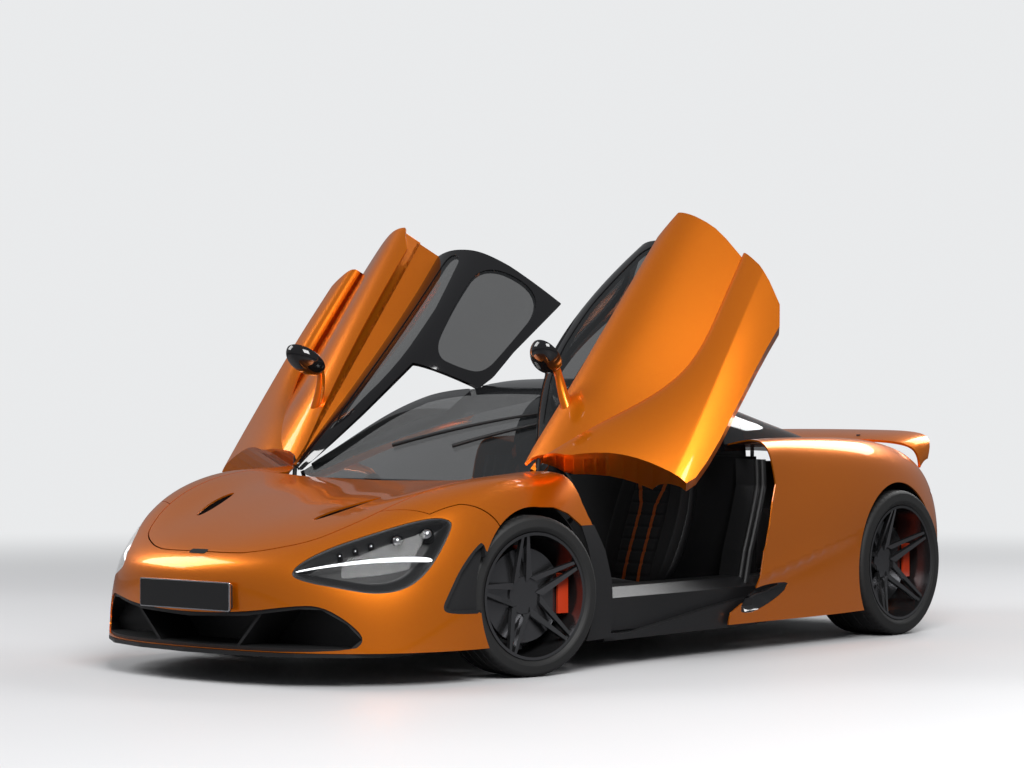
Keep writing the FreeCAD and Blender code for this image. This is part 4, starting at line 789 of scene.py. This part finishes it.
def soft_step(t):
    """t^2 (3 - 2 t), level at both ends, with t held between 0 and 1."""
    t = np.clip(t, 0.0, 1.0)
    return t ** 2 * (3 - 2 * t)


aft = joining(behind(660), crossing(beyond(640), side(QUARTER_NOSE)))
low_inner = crossing(within(800), ahead_of(700), below(860))
glass_hole = patch(eased(whole(REAR_GLASS_PLAN), 1), 500)
lamp_slit = crossing(on_both(front(LAMP_SLIT)), behind(1900))
rear = BODY.kept(aft).cut(joining(low_inner, WHEELS, DOOR_ROOM, glass_hole, UNDER_CANOPY, side(TAIL)))
rear = rear.cut(joining(patch(whole(WING_ROOM), 800), lamp_slit))
print("rear skin:", len(rear.faces), "triangles")
leaf = crossing(beyond(800), side(eased(LEAF, 2)))
inlet = rear.kept(crossing(beyond(800), side(eased(LEAF, 2), 1.0)))
inlet = resurfaced(inlet.moved(INLET_RIM + INLET_DEPTH * soft_step(-leaf(inlet.points) / INLET_SLOPE)))
piece("quarter_intakes", inlet, BLACK, "body", "gloss_black")
panel("quarter_skins", rear.kept(beyond(DECK_HALF + SEAM)).cut(leaf), "body", "rear_quarters")
pipes = crossing(on_both(disc(0, 2, EXHAUST, EXHAUST_HOLE)), behind(2000))
panel("deck_skin", rear.kept(within(DECK_HALF - SEAM)).cut(pipes), "body", "engine_deck")
panel("tail_skin", BODY.kept(side(TAIL, -1.0)).cut(WHEELS), "body", "rear_bumper")

# %% [markdown]
# The glasshouse panels come from the canopy skin: tinted windscreen and rear glass, a gloss
# black roof frame, and in each door a black frame with a side window and a roof window.

# %% Glasshouse
SCREEN_FOOT, REAR_GLASS_FOOT, HOOP_FOOT, SPINE_FOOT = 742, 850, 860, 900
GLASS_SINK, GLASS_WALL, ROOF_WALL = 0.0005, 0.005, 0.030
HOOP = whole([(0, 435)] + [(x, y + 5) for x, y in ROOF_REAR] + [(860, 659), (0, 659)])
screen_room = patch(whole(SCREEN_PLAN), SCREEN_FOOT)
roof_room = joining(patch(whole(PILLAR_PLAN), SCREEN_FOOT), patch(HOOP, HOOP_FOOT),
                    patch(whole([(0, -300)] + SPINE_EDGE + [(0, 430)]), SPINE_FOOT),
                    patch([(-45, 400), (45, 400), (45, 500), (-45, 500)], SPINE_FOOT))
roof = CANOPY.kept(roof_room).cut(joining(screen_room, swing(PILLAR_SWING, -10, 145)))
piece("roof_frame_skin", roof.walled(ROOF_WALL), BLACK, "body", "gloss_black", "roof_frame")
for name, outline, foot, tint, node in (
        ("windscreen_glass", SCREEN_PLAN, SCREEN_FOOT + 1, SCREEN_GLASS, "windscreen"),
        ("rear_glass", REAR_GLASS_PLAN, REAR_GLASS_FOOT, SIDE_GLASS, "rear_screen")):
    pane = CANOPY.kept(patch(whole(outline), foot, -0.5)).moved(GLASS_SINK)
    piece(name, pane.walled(GLASS_WALL), tint, "body", "glass", node)


def wall_at(u, v):
    """A trim wall across the cab with u and up with v, bowed by 20 mm cos 6x. It closes the
    view from the seats into the engine bay."""
    x = 1.64 * u - 0.82
    return np.stack([x, 0.675 + 0.02 * np.cos(6 * x), 0.62 + 0.54 * v], -1)


rear_wall = grid_skin(wall_at, 160, 60).kept(joining(UNDER_CANOPY, crossing(within(800), below(840))))
piece("cab_rear_wall", resurfaced(rear_wall), LEATHER, "body", "interior")

# %% [markdown]
# Each door's outer side is two skins: an upper panel that falls from the belt over a
# shoulder, and a blade below it that swells to a sharp crease. The upper panel's top edge
# stands free, and air runs down behind it over a painted shelf. A line of control points
# that is taken twice draws the crease sharp.

# %% Door skins, closed
# A row: y, then x, z of the upper panel's belt, brow, ridge, face and tuck lines.
UPPER_ROWS = [
    (-1010, 686, 879, 734, 865, 800, 778, 846, 708, 883, 564),
    (-760, 709, 895, 767, 863, 826, 785, 863, 694, 891, 541),
    (-500, 727, 915, 790, 880, 849, 802, 871, 681, 881, 473),
    (-220, 736, 946, 807, 906, 867, 832, 876, 659, 864, 396),
    (100, 738, 978, 818, 937, 878, 870, 880, 697, 858, 416),
    (380, 733, 1009, 822, 967, 884, 909, 882, 740, 855, 449),
    (620, 724, 1033, 822, 991, 889, 945, 882, 782, 851, 481),
]
# A row: y, then x, z of the blade's lip, round, swell, crease, under and foot lines.
BLADE_ROWS = [
    (-1010, 743, 865, 866, 781, 922, 567, 936, 199, 946, 153, 936, 104),
    (-760, 831, 758, 885, 713, 933, 522, 952, 219, 948, 169, 931, 115),
    (-520, 865, 586, 900, 576, 939, 443, 958, 261, 950, 202, 928, 117),
    (-230, 885, 450, 923, 458, 948, 391, 962, 319, 950, 236, 922, 137),
    (60, 886, 500, 926, 510, 952, 439, 964, 380, 950, 288, 915, 180),
    (350, 881, 561, 923, 572, 945, 498, 953, 438, 939, 336, 904, 213),
    (620, 875, 615, 917, 630, 937, 552, 943, 491, 928, 375, 893, 246),
]


def strip_net(rows, lines):
    """Control points of a door panel in metres, one list per station. lines gives the order of
    the lines; one that comes twice is drawn sharp."""
    rows = np.array(rows, float)
    pairs = rows[:, 1:].reshape(len(rows), -1, 2)[:, lines]
    y = np.broadcast_to(rows[:, :1], pairs.shape[:2])
    return np.stack([pairs[..., 0], y, pairs[..., 1]], -1)[:, ::-1] / MM


def above_line(line, rise=0.0):
    """A rule for everything above a line (y, z) that is raised a little."""
    low = [(y, z + rise) for y, z in line]
    first, last = low[0][0] - 300, low[-1][0] + 300
    return side(low + [(last, low[-1][1]), (last, 1500), (first, 1500), (first, low[0][1])])


def at_x(skin, x):
    """The skin's points, carried sideways to an upright plane."""
    return skin.points * (0, 1, 1) + (x / MM, 0, 0)


INNER_X = 738
DOOR_WALL, SHELF_WALL, CARD_WALL = 0.012, 0.022, 0.015
door_edge = side(SOFT_DOOR, -0.5)
upper = spline_skin(strip_net(UPPER_ROWS, (0, 1, 2, 3, 4)), 300, 200).moved(0.0002)
upper = upper.kept(crossing(door_edge, beyond(INNER_X)))
blade = spline_skin(strip_net(BLADE_ROWS, (0, 1, 2, 3, 3, 4, 5)), 300, 240).kept(door_edge)
low_upper = upper.cut(above_line(SHELF_TOP))
shell = together(upper.walled(DOOR_WALL), blade.walled(DOOR_WALL),
                 *(skin.band(at_x(skin, INNER_X)) for skin in (low_upper, blade)))

SHELF_INNER = [(-905, 742), (-836, 738), (-449, 692), (-60, 655), (320, 628), (485, 626)]


def shelf_at(u, v):
    """Runs back along y with u, and with v from the panel in to the foot of the window."""
    y = (-905.0 + 1390.0 * u) / MM
    outer, inner = 752 / MM, on_line(SHELF_INNER, y)
    return np.stack([outer + v * (inner - outer), y, on_line(SHELF_TOP, y)], -1)


shelf = grid_skin(shelf_at, 90, 12).faced(2, 1)
sill_room = crossing(within(880), below(333))
closed_door = together(shell.cut(sill_room), shelf.walled(SHELF_WALL))

ROOF_WINDOW = [(330, -215), (485, -225), (500, 100), (465, 425), (120, 415), (200, -20), (235, -175)]
SIDE_WINDOW = [(-690, 896), (-600, 945), (-330, 1080), (0, 1120), (300, 1115), (440, 1065),
               (440, 1012), (300, 1002), (0, 976), (-450, 924)]
FRAME_PLAN = ([(x + 5, y) for x, y in SPINE_EDGE][::-1]
              + [(250, -255), (538, -293), (612, -584), (707, -913), (860, -915)] + ROOF_REAR[:0:-1])
FRAME_WALL, PANE_SINK, PANE_WALL = 0.026, 0.004, 0.004
windows = joining(patch(eased(ROOF_WINDOW), 1060), crossing(beyond(560), side(eased(SIDE_WINDOW, 2))))
frame_room = crossing(plan(FRAME_PLAN), above_line(SHELF_TOP, 0.3), within(INNER_X - 0.3))
door_top = CANOPY.kept(lambda p: -p[:, 0]).kept(frame_room)
frame_ring = door_top.cut(joining(windows, hinge_rod(790, 935, 24))).walled(FRAME_WALL)
door_panes = door_top.kept(windows).moved(PANE_SINK).walled(PANE_WALL)

CARD_X = (INNER_X - 0.1) / MM
card = grid_skin(lambda u, v: np.stack([0 * u + CARD_X, 1.5 * u - 0.95, 0.10 + 0.9 * v], -1), 150, 90)
card = card.kept(crossing(side(SOFT_DOOR, -25), above(330)))
card = card.cut(above_line(SHELF_TOP, -25.3)).walled(CARD_WALL)


def route(path, count):
    """A smooth path at count places: its points' weights, its places and its directions."""
    weights, slopes = spline_weights(len(path), np.linspace(0, 1, count))
    path = np.array(path, float)
    return weights, weights @ path, unit(slopes @ path)


def straight(start, end):
    """Four points that draw a path straight."""
    return [(1 - share) * start + share * end for share in (0.0, 0.3, 0.7, 1.0)]


def tube(path, radii, rows=40, columns=24):
    """A round bar along a smooth path: centre c(u), and a circle square to c'(u) with radius r(u)."""
    weights, centre, along = route(path, rows)
    radius = (weights @ np.broadcast_to(np.array(radii, float), len(path)))[:, None, None]
    first = unit(np.cross(along, [0.13, 0.21, 1.0]))
    second = np.cross(along, first)
    angle = np.linspace(0, 2 * math.pi, columns)[None, :, None]
    out = first[:, None, :] * np.cos(angle) + second[:, None, :] * np.sin(angle)
    points = centre[:, None, :] + out * radius
    return Skin(points.reshape(-1, 3) / MM, out.reshape(-1, 3), grid_faces(rows, columns)[:, ::-1])


def ball(centre, radii, rows=48, columns=64):
    """An ellipsoid: centre + (a sin t cos p, b sin t sin p, c cos t)."""
    t, p = np.meshgrid(np.linspace(0, math.pi, rows), np.linspace(0, 2 * math.pi, columns), indexing="ij")
    out = np.stack([np.sin(t) * np.cos(p), np.sin(t) * np.sin(p), np.cos(t)], -1).reshape(-1, 3)
    radii = np.array(radii, float)
    return Skin((np.array(centre) + out * radii) / MM, unit(out / radii), grid_faces(rows, columns))


ARM_RADIUS = 10
MIRROR_PLACE, MIRROR_FLATNESS = (957, -505, 985), 0.35
on_hinge = lambda t: MM * HINGE + t * HINGE_AXIS
elbow = np.array([775.0, -835.0, 815.0])
arm = together(tube([on_hinge(t) for t in (-112, -93, -75, -56)], ARM_RADIUS),
               tube(straight(on_hinge(-60), elbow), ARM_RADIUS))
stalk = tube([(775, -610, 805), (800, -570, 860), (838, -505, 925), (880, -480, 962), (915, -475, 978)],
             (30, 24, 18, 16, 16))
cap = ball(MIRROR_PLACE, (98, 62, 74))
bulge = cap.points[:, 1] - MIRROR_PLACE[1] / MM
cap.points[:, 1] = np.where(bulge > 0, MIRROR_FLATNESS * bulge, bulge) + MIRROR_PLACE[1] / MM

# %% [markdown]
# An open door shows its jamb: a dark frame on the body behind the door's rear edge, with two
# raised seals. It also hides that the skins are hollow.

# %% Door jambs on the body
JAMB_EDGE = [(300, 320), (440, 358), (566, 411), (729, 480), (850, 497)]


def jamb_at(u, v):
    """Rises with u behind the door's rear edge, and runs in and back with v. Two rubber ridges
    e^-((v - place) / 0.045)^2 follow its outer edge."""
    z = 0.30 + 0.55 * u
    ridges = sum(np.exp(-((v - place) / 0.045) ** 2) for place in (0.12, 0.30))
    y = on_line(JAMB_EDGE, z) + 0.022 + 0.07 * v - 0.012 * ridges
    return np.stack([0.872 - 0.03 * u ** 3 - 0.22 * v, y, z], -1)


jamb = grid_skin(jamb_at, 120, 120).faced(1, -1)
piece("door_jambs", both(jamb), MOULDING, "body", "trim_black")

# %% [markdown]
# Every part of a door was made where it lies when the door is shut. One turn about the hinge
# line opens them all, and a mirror image makes the right door.

# %% Doors, open
for side_name in ("left", "right"):
    for name, skin, finish, slot, nodes in (
            ("door_skin_", closed_door, PAINT, "paint", ["door_"]),
            ("door_frame_ring_", frame_ring, BLACK, "gloss_black", ["door_frame_"]),
            ("door_card_", card, LEATHER, "gloss_black", []),
            ("door_windows_", door_panes, SIDE_GLASS, "glass", ["door_glass_"]),
            ("mirror_stalk_", stalk, PAINT, "paint", ["mirror_"]),
            ("mirror_cap_", cap, BLACK, "gloss_black", []),
            ("hinge_arm_", arm, MOULDING, "trim_black", [])):
        opened = sided(skin.turned(HINGE, HINGE_AXIS, -DOOR_OPEN), side_name)
        piece(name + side_name, opened, finish, "door_" + side_name, slot,
              *[node + side_name for node in nodes])

# %% [markdown]
# The wing is one thin blade that spans the tail. Its tips turn down to meet the quarters.

# %% Rear wing
# A row: x, y of the front edge, y of the rear edge, z; the other half is its mirror image.
WING_ROWS = [(-700, 2045, 2115, 822), (-704, 2030, 2150, 915), (-625, 2000, 2215, 958),
             (-330, 1993, 2262, 963), (0, 1990, 2269.5, 965)]
WING_WALL, STRUT_RADIUS = 0.013, 10
wing_net = []
for x, y_front, y_rear, z in WING_ROWS + [(-x, *rest) for x, *rest in WING_ROWS[-2::-1]]:
    run = y_rear - y_front
    wing_net.append([(x, y_front, z - 40), (x, y_front + 0.35 * run, z - 8),
                     (x, y_front + 0.7 * run, z), (x, y_rear, z + 4)])
wing = spline_skin(np.array(wing_net) / MM, 240, 40)
struts = both(tube([(330, 2050, z) for z in (745, 800, 900, 945)], STRUT_RADIUS))
piece("wing_blade", wing.walled(WING_WALL), PAINT, "rear_wing", "paint", "rear_wing")
piece("wing_struts", struts, MOULDING, "rear_wing", "trim_black")

# %% [markdown]
# A tyre is a profile turned about the axle. The profile has a bulging side wall with two
# thin ribs, rounded shoulders and four grooves, and short slots cut the shoulder blocks.

# %% Tyres
TYRES = (("front", (122.5, 327.0, 258.0)), ("rear", (152.5, 345.0, 271.0)))  # half width, radius, rim
TURN_POINTS, SLOTS = 421, 60
SLOT_INNER, SLOT_DEPTH, SLOT_SHARE = 0.062, 0.0035, 0.2


def lathe(profile, count, slots):
    """A profile (x, r) turned about the X axis: (x, r cos t, r sin t). From SLOT_INNER out, the
    top of the tread is SLOT_DEPTH lower in each slot, a fifth of the way to the next one."""
    x, r = np.array(profile, float).T / MM
    t = np.linspace(0.0, 2.0 * math.pi, count)
    dx, dr = np.gradient(x), np.gradient(r)
    length = np.hypot(dx, dr)
    turn, place = np.meshgrid(t, np.arange(len(x)))
    radius = r[place]
    worn = ((np.abs(x[place]) > SLOT_INNER) & (radius > r.max() - 0.008)
            & ((turn * slots / (2 * math.pi)) % 1 < SLOT_SHARE))
    radius = radius - SLOT_DEPTH * worn
    out = np.stack([0 * turn, np.cos(turn), np.sin(turn)], -1)
    axle = np.array([1.0, 0.0, 0.0])
    points = out * radius[..., None] + axle * x[place][..., None]
    normals = out * (dx / length)[place][..., None] - axle * (dr / length)[place][..., None]
    return Skin(points.reshape(-1, 3), unit(normals).reshape(-1, 3), grid_faces(len(x), count)[:, ::-1])


REAR_HUB_X, PIN_X, HUB_OFFSET = 814.5, 815.0, 22.0
STEERED = math.radians(-11.5)  # how the front wheels stand in the photo


def wheel_places(skin, end, side_name):
    """Puts a wheel part from the X axis at its corner. A front one stands outside its steering
    pin and is turned about it."""
    skin = sided(skin, side_name)
    sign = 1.0 if side_name == "left" else -1.0
    if end == "rear":
        return Skin(skin.points + np.array([sign * REAR_HUB_X, *REAR_WHEEL]) / MM, skin.normals, skin.faces)
    pin = np.array([sign * PIN_X, *FRONT_WHEEL]) / MM
    skin = Skin(skin.points + pin + (sign * HUB_OFFSET / MM, 0.0, 0.0), skin.normals, skin.faces)
    return skin.turned(pin, np.array([0.0, 0.0, 1.0]), STEERED)


def tyre_profile(half, radius, rim):
    """Outer bead, side wall, shoulder and half the tread; the other half is its mirror image."""
    seat = half - 14
    wall = [(seat - 12, rim + 1), (seat - 2, rim + 3), (seat + 1, rim + 9), (seat + 6, rim + 16),
            (seat + 7, rim + 17), (seat + 7.3, rim + 20), (seat + 9, rim + 22), (seat + 9, rim + 25),
            (seat + 8.2, rim + 26), (seat + 7, radius - 28), (seat + 5, radius - 20),
            (seat + 5.6, radius - 19), (seat + 5, radius - 17), (seat + 1, radius - 10),
            (seat - 6, radius - 4.5), (seat - 14, radius - 1.8), (seat - 24, radius - 0.9)]
    groove = [(6, 0.4), (5.5, 0.4), (4, 6), (-4, 6), (-5.5, 0.2), (-6, 0.2)]
    tread = [(middle * half + x, radius - depth) for middle in (0.60, 0.22) for x, depth in groove]
    half_profile = wall + tread + [(0, radius)]
    return half_profile + [(-x, r) for x, r in half_profile[-2::-1]]


for end, sizes in TYRES:
    tread = lathe(tyre_profile(*sizes)[::-1], TURN_POINTS, SLOTS)
    for side_name in ("left", "right"):
        name = end + "_" + side_name
        piece("tyre_tread_" + name, wheel_places(tread, end, side_name), RUBBER, "wheel_" + name, "tyre",
              "tyre_" + name)

# %% [markdown]
# A head lamp on such a car is a deep dark socket under a clear cover. A bright light guide
# runs through it, and a small group of lenses sits high at its outer end.

# %% Head lamps
LIGHT_BLADE = [(500, -2164, 468), (600, -2056, 481), (700, -1947, 496), (860, -1775, 522), (874, -1762, 514),
               (868, -1768, 498), (700, -1947, 480), (600, -2056, 472), (500, -2164, 463)]
LENSES = [(808, -1728, 596, 30), (738, -1822, 566, 27), (676, -1905, 548, 13), (640, -1958, 532, 12),
          (604, -2008, 516, 11)]  # x, y, z on the skin, and radius
SPOT, LENS_DEPTH, LENS_SHARE, COLLAR_BACK, COLLAR_FRONT = 12.0, 26.0, 0.8, 24.0, 8.0
SOCKET_RIM, SOCKET_DEPTH, SOCKET_SLOPE = 0.004, 0.044, 0.045
COVER_SINK, COVER_WALL, GUIDE_SINK, GUIDE_WALL, COLLAR_WALL = 0.0006, 0.0025, 0.008, 0.006, 0.003
socket = BODY.kept(lamp(-0.5))
pressed = soft_step(-lamp()(socket.points) / SOCKET_SLOPE)
socket = resurfaced(socket.moved(SOCKET_RIM + SOCKET_DEPTH * pressed))
piece("lamp_sockets", socket, MOULDING, "body", "lamp", "headlamps")
cover = BODY.kept(lamp(-1.5)).moved(COVER_SINK).walled(COVER_WALL)
piece("lamp_covers", cover, LAMP_COVER, "body", "glass")
guide = BODY.kept(lamp(0.0, eased(in_lamp(LIGHT_BLADE), 2)))
piece("light_guides", guide.moved(GUIDE_SINK).walled(GUIDE_WALL), WHITE_LIGHT, "body", "lamp")
lenses, collars = [], []
around = np.linspace(0, 2 * math.pi, 24, endpoint=False)
for x, y, z, radius in LENSES:
    ring = in_lamp([(x, y, z)]) + SPOT * np.stack([np.cos(around), np.sin(around)], 1)
    spot = BODY.kept(lamp(0.0, ring))
    seat = MM * spot.points[spot.points[:, 0] > 0].mean(axis=0) - LENS_DEPTH * LAMP_FACING
    lenses.append(ball(seat, (radius * LENS_SHARE,) * 3))
    collar = straight(seat - COLLAR_BACK * LAMP_FACING, seat + COLLAR_FRONT * LAMP_FACING)
    collars.append(tube(collar, radius).walled(COLLAR_WALL))
piece("lamp_lenses", both(together(*lenses)), SILVER, "body", "lamp")
piece("lamp_collars", both(together(*collars)), BLACK, "body", "lamp")

# %% [markdown]
# The plate is a blank dark sheet in a thin silver frame. Above it is a bare dark bar.

# %% Plate and bar
def slab(outline, y_face, y_back, edge=1.5):
    """A flat plate from an outline (x, z): its face, a rounded edge and its back."""
    outline = np.array(outline, float)
    centre = outline.mean(axis=0)
    rings = []
    for y, inset in ((y_face, edge), (y_face + 0.3 * edge, 0.3 * edge), (y_face + edge, 0.0), (y_back, 0.0)):
        flat = outline - inset * unit(outline - centre)
        rings.append(np.stack([flat[:, 0], np.full(len(outline), y), flat[:, 1]], 1) / MM)
    count = len(outline)
    closed = [np.concatenate([ring_points, ring_points[:1]]) for ring_points in rings]
    sides = Skin(np.concatenate(closed), np.concatenate(closed), grid_faces(4, count + 1)[:, ::-1])
    fan = np.stack([np.zeros(count, int), np.arange(count) + 1, (np.arange(count) + 1) % count + 1], 1)
    caps = []
    for ring_points, way in ((rings[0], -1), (rings[-1], 1)):
        points = np.concatenate([ring_points.mean(axis=0)[None], ring_points])
        caps.append(Skin(points, np.tile([0.0, way, 0.0], (count + 1, 1)), fan if way < 0 else fan[:, ::-1]))
    return together(resurfaced(sides), *caps)


def rounded_box(half_x, z_low, z_high, radius=8.0):
    """A rectangle with round corners, anticlockwise as x, z."""
    corners = []
    for cx, cz, start in ((half_x, z_high, 0), (-half_x, z_high, 90), (-half_x, z_low, 180),
                          (half_x, z_low, 270)):
        angle = np.radians(np.linspace(start, start + 90, 8))
        corners += list(zip(cx - math.copysign(radius, cx) + radius * np.cos(angle),
                            cz + (radius if cz == z_low else -radius) + radius * np.sin(angle)))
    return corners


piece("plate_blank", slab(rounded_box(255, 295, 401), -2271.4, -2266), FINISHES["plate"], "body", "plate",
      "number_plate")
piece("plate_frame", slab(rounded_box(260, 290, 406), -2269.5, -2261, 3.0), SILVER, "body", "trim_black")
piece("plate_back", slab(rounded_box(246, 300, 396), -2262, -2232), MOULDING, "body", "trim_black")
bar_rule = crossing(front(rounded_box(48, 508, 524, 7.9)), ahead_of(-1900))
piece("nose_bar", BODY.kept(bar_rule).moved(-0.001).walled(0.003), BLACK, "body", "gloss_black")

# %% [markdown]
# A seat is a thin hard shell with padded leather on it. Each pad follows a line through the
# seat's middle. Across it, the pad is a rounded box whose sides rise into bolsters, and sewn
# lines pull its face in. The stripes form a tall Y on the back and run on over the cushion.

# %% Seats
def welded(skin):
    """Joins points that fall together and drops triangles without area."""
    _, first, which = np.unique(np.round(skin.points, 6), axis=0, return_index=True, return_inverse=True)
    faces = which.reshape(-1)[skin.faces]
    full = (faces[:, 0] != faces[:, 1]) & (faces[:, 1] != faces[:, 2]) & (faces[:, 2] != faces[:, 0])
    return resurfaced(Skin(skin.points[first], skin.normals[first], faces[full]))


SEAT_X = 370.0


def pad(path, widths, halves, bolster, sewn=0.0, rows=180, columns=160):
    """A closed cushion along a path (y, z). Across it, side = w S(cos a), face = h S(sin a) with
    S(c) = sign(c) |c|^0.7, and the face rises by bolster (|side| / w)^3. Sewn lines sink it by
    a narrow bell e^-(distance / 5 mm)^2."""
    weights, centre, along = route(path, rows)
    u = np.linspace(0.0, 1.0, rows)
    end = np.sqrt(np.clip(1.0 - np.abs(2 * u - 1) ** 7, 0.0, 1.0))[:, None]
    width, half = ((weights @ np.array(sizes, float))[:, None] for sizes in (widths, halves))
    a = np.linspace(-0.5 * math.pi, 1.5 * math.pi, columns)[None, :]
    box = lambda c: np.sign(c) * np.abs(c) ** 0.7
    across = width * end ** 0.6 * box(np.cos(a))
    share = np.abs(across) / width
    upper_side = np.clip(np.sin(a) * 3, 0.0, 1.0) * end
    dips = np.exp(-((share - 0.56) * width / 5.0) ** 2)
    length = np.cumsum(np.linalg.norm(np.diff(centre, axis=0, prepend=centre[:1]), axis=1))[:, None]
    cross_seam = np.exp(-(((length + 30) % 60 - 30) / 5.0) ** 2) * (share < 0.56)
    sunk = sewn * (dips + 0.6 * cross_seam)
    face = half * end * box(np.sin(a)) + upper_side * (bolster * share ** 3 - sunk)
    y = centre[:, :1] - along[:, 1:] * face
    z = centre[:, 1:] + along[:, :1] * face
    points = np.stack([SEAT_X + across, y, z], -1).reshape(-1, 3) / MM
    return welded(Skin(points, points, grid_faces(rows, columns)))


CUSHION_PATH = [(-432, 300), (-320, 298), (-120, 262), (60, 240), (100, 236)]
BACK_PATH = [(132, 255), (225, 430), (335, 680), (372, 850), (368, 962)]
cushion = pad(CUSHION_PATH, (190, 200, 200, 190, 180), (50, 56, 58, 56, 50), 30.0, 7.0)
back = pad(BACK_PATH, (175, 195, 205, 150, 118), (40, 48, 46, 40, 34), 36.0, 7.0)
seat_shell = together(pad([(y, z - 34) for y, z in CUSHION_PATH], (205, 214, 214, 205, 195), (50,) * 5, 10.0),
                      pad([(y + 24, z - 6) for y, z in BACK_PATH], (185, 204, 210, 164, 130), (38,) * 5, 8.0))
piece("seat_shells", both(seat_shell), CARBON, "body", "seat", "seats")
BACK_STRIPE = [(150, 935), (128, 940), (34, 640), (34, 262), (50, 262), (50, 636)]
CUSHION_STRIPE = [(50, -410), (34, -410), (34, 90), (50, 90)]
STRIPE_RISE, STRIPE_WALL = 0.0012, 0.002
fore_face = lambda p: p[:, 1] - on_line([(z, y) for y, z in BACK_PATH], p[:, 2]) + 0.01
stripes = []
for way in (-1, 1):
    on_back, on_cushion = ([(SEAT_X + way * x, place) for x, place in stripe]
                           for stripe in (BACK_STRIPE, CUSHION_STRIPE))
    stripes += [back.kept(crossing(front(on_back), fore_face)), cushion.kept(patch(on_cushion, 262))]
stripes = together(*stripes).moved(-STRIPE_RISE)
for side_name in ("left", "right"):
    for name, skin in (("seat_cushion_", cushion), ("seat_back_", back)):
        piece(name + side_name, sided(skin, side_name), LEATHER, "body", "seat")
piece("seat_stripes", both(stripes.walled(STRIPE_WALL)), ACCENT, "body", "seat")

# %% [markdown]
# The camera stands at the photograph's place: low, ahead of the left front corner, with a
# long lens. The floor and the backdrop are pale.

# %% Camera
CAMERA_PLACE = Vector((8.177, -9.8265, 1.118))
CAMERA_TURN = math.radians(40.54)
CAMERA_TILT = math.radians(0.334)
FOCAL_PIXELS = 2785.7
FRAME_PIXELS = 1024.0

lens_data = bpy.data.cameras.new("studio_camera")
lens_data.sensor_width = 36.0
lens_data.lens = FOCAL_PIXELS / FRAME_PIXELS * lens_data.sensor_width
lens_data.clip_end = 200.0
camera = bpy.data.objects.new("studio_camera", lens_data)
looking = Vector((-math.sin(CAMERA_TURN) * math.cos(CAMERA_TILT),
                  math.cos(CAMERA_TURN) * math.cos(CAMERA_TILT), math.sin(CAMERA_TILT)))
camera.location = CAMERA_PLACE
camera.rotation_euler = looking.to_track_quat("-Z", "Y").to_euler()
bpy.context.collection.objects.link(camera)
bpy.context.scene.camera = camera

# %% [markdown]
# Gloss paint shows the room more than its own colour, so the room is kept plain: a dim pale
# world, three large soft lamps, and a pale floor. What the camera sees behind the car is
# made pale by a switch on camera rays, which adds no light to the car.

# %% Floor, world and lamps
PALE, PALE_STRENGTH = rgb(0.86, 0.87, 0.88), 0.95
AIR, AIR_STRENGTH = rgb(0.80, 0.82, 0.85), 0.24
FLOOR_HALF, FADE_START, FADE_END = 60.0, 3.5, 12.0


def floor():
    """A wide sheet that the car stands on. The camera sees it pale, and further out it fades
    into the backdrop; every other ray meets a darker sheet, which throws less light back."""
    f = Finish("pale_floor")
    seen = f.node("ShaderNodeLightPath", output="Is Camera Ray")
    away = f.node("ShaderNodeVectorMath", {"operation": "LENGTH"}, {0: f.place()}, output="Value")
    far = f.node("ShaderNodeMapRange", {"interpolation_type": "SMOOTHSTEP"},
                 {"Value": away, "From Min": FADE_START, "From Max": FADE_END})
    lit = f.principled(Base_Color=f.mix(seen, rgb(0.20, 0.20, 0.21), rgb(0.74, 0.74, 0.75)),
                       Roughness=0.1 * f.noise(0.6) + 0.45)
    backdrop = f.node("ShaderNodeEmission", inputs={"Color": PALE, "Strength": PALE_STRENGTH})
    mesh = bpy.data.meshes.new("floor")
    corners = [(FLOOR_HALF * x, FLOOR_HALF * y, 0.0) for x, y in ((-1, -1), (1, -1), (1, 1), (-1, 1))]
    mesh.from_pydata(corners, [], [(0, 1, 2, 3)])
    mesh.materials.append(f.close(f.node("ShaderNodeMixShader", inputs={0: far * seen, 1: lit, 2: backdrop})))
    sheet = bpy.data.objects.new("floor", mesh)
    bpy.context.collection.objects.link(sheet)


def soft_lamp(name, place, size, power):
    """A large square lamp that faces the car."""
    data = bpy.data.lights.new(name, "AREA")
    data.size = size
    data.energy = power
    lamp_object = bpy.data.objects.new(name, data)
    lamp_object.location = place
    lamp_object.rotation_euler = (Vector((0, 0, 0.6)) - Vector(place)).to_track_quat("-Z", "Y").to_euler()
    bpy.context.collection.objects.link(lamp_object)


floor()
air = Finish("studio_air", "worlds", "ShaderNodeOutputWorld")
camera_ray = air.node("ShaderNodeLightPath", output="Is Camera Ray")
dim, pale = (air.node("ShaderNodeBackground", inputs={"Color": colour, "Strength": strength})
             for colour, strength in ((AIR, AIR_STRENGTH), (PALE, PALE_STRENGTH)))
blend = air.node("ShaderNodeMixShader", inputs={0: camera_ray, 1: dim, 2: pale})
bpy.context.scene.world = air.close(blend)
soft_lamp("key_lamp", (5.5, -5.0, 6.0), 4.0, 680.0)
soft_lamp("fill_lamp", (-6.0, -4.0, 5.0), 4.0, 320.0)
soft_lamp("rear_lamp", (0.5, 6.5, 5.5), 4.0, 340.0)
bpy.context.scene.view_settings.view_transform = "Standard"
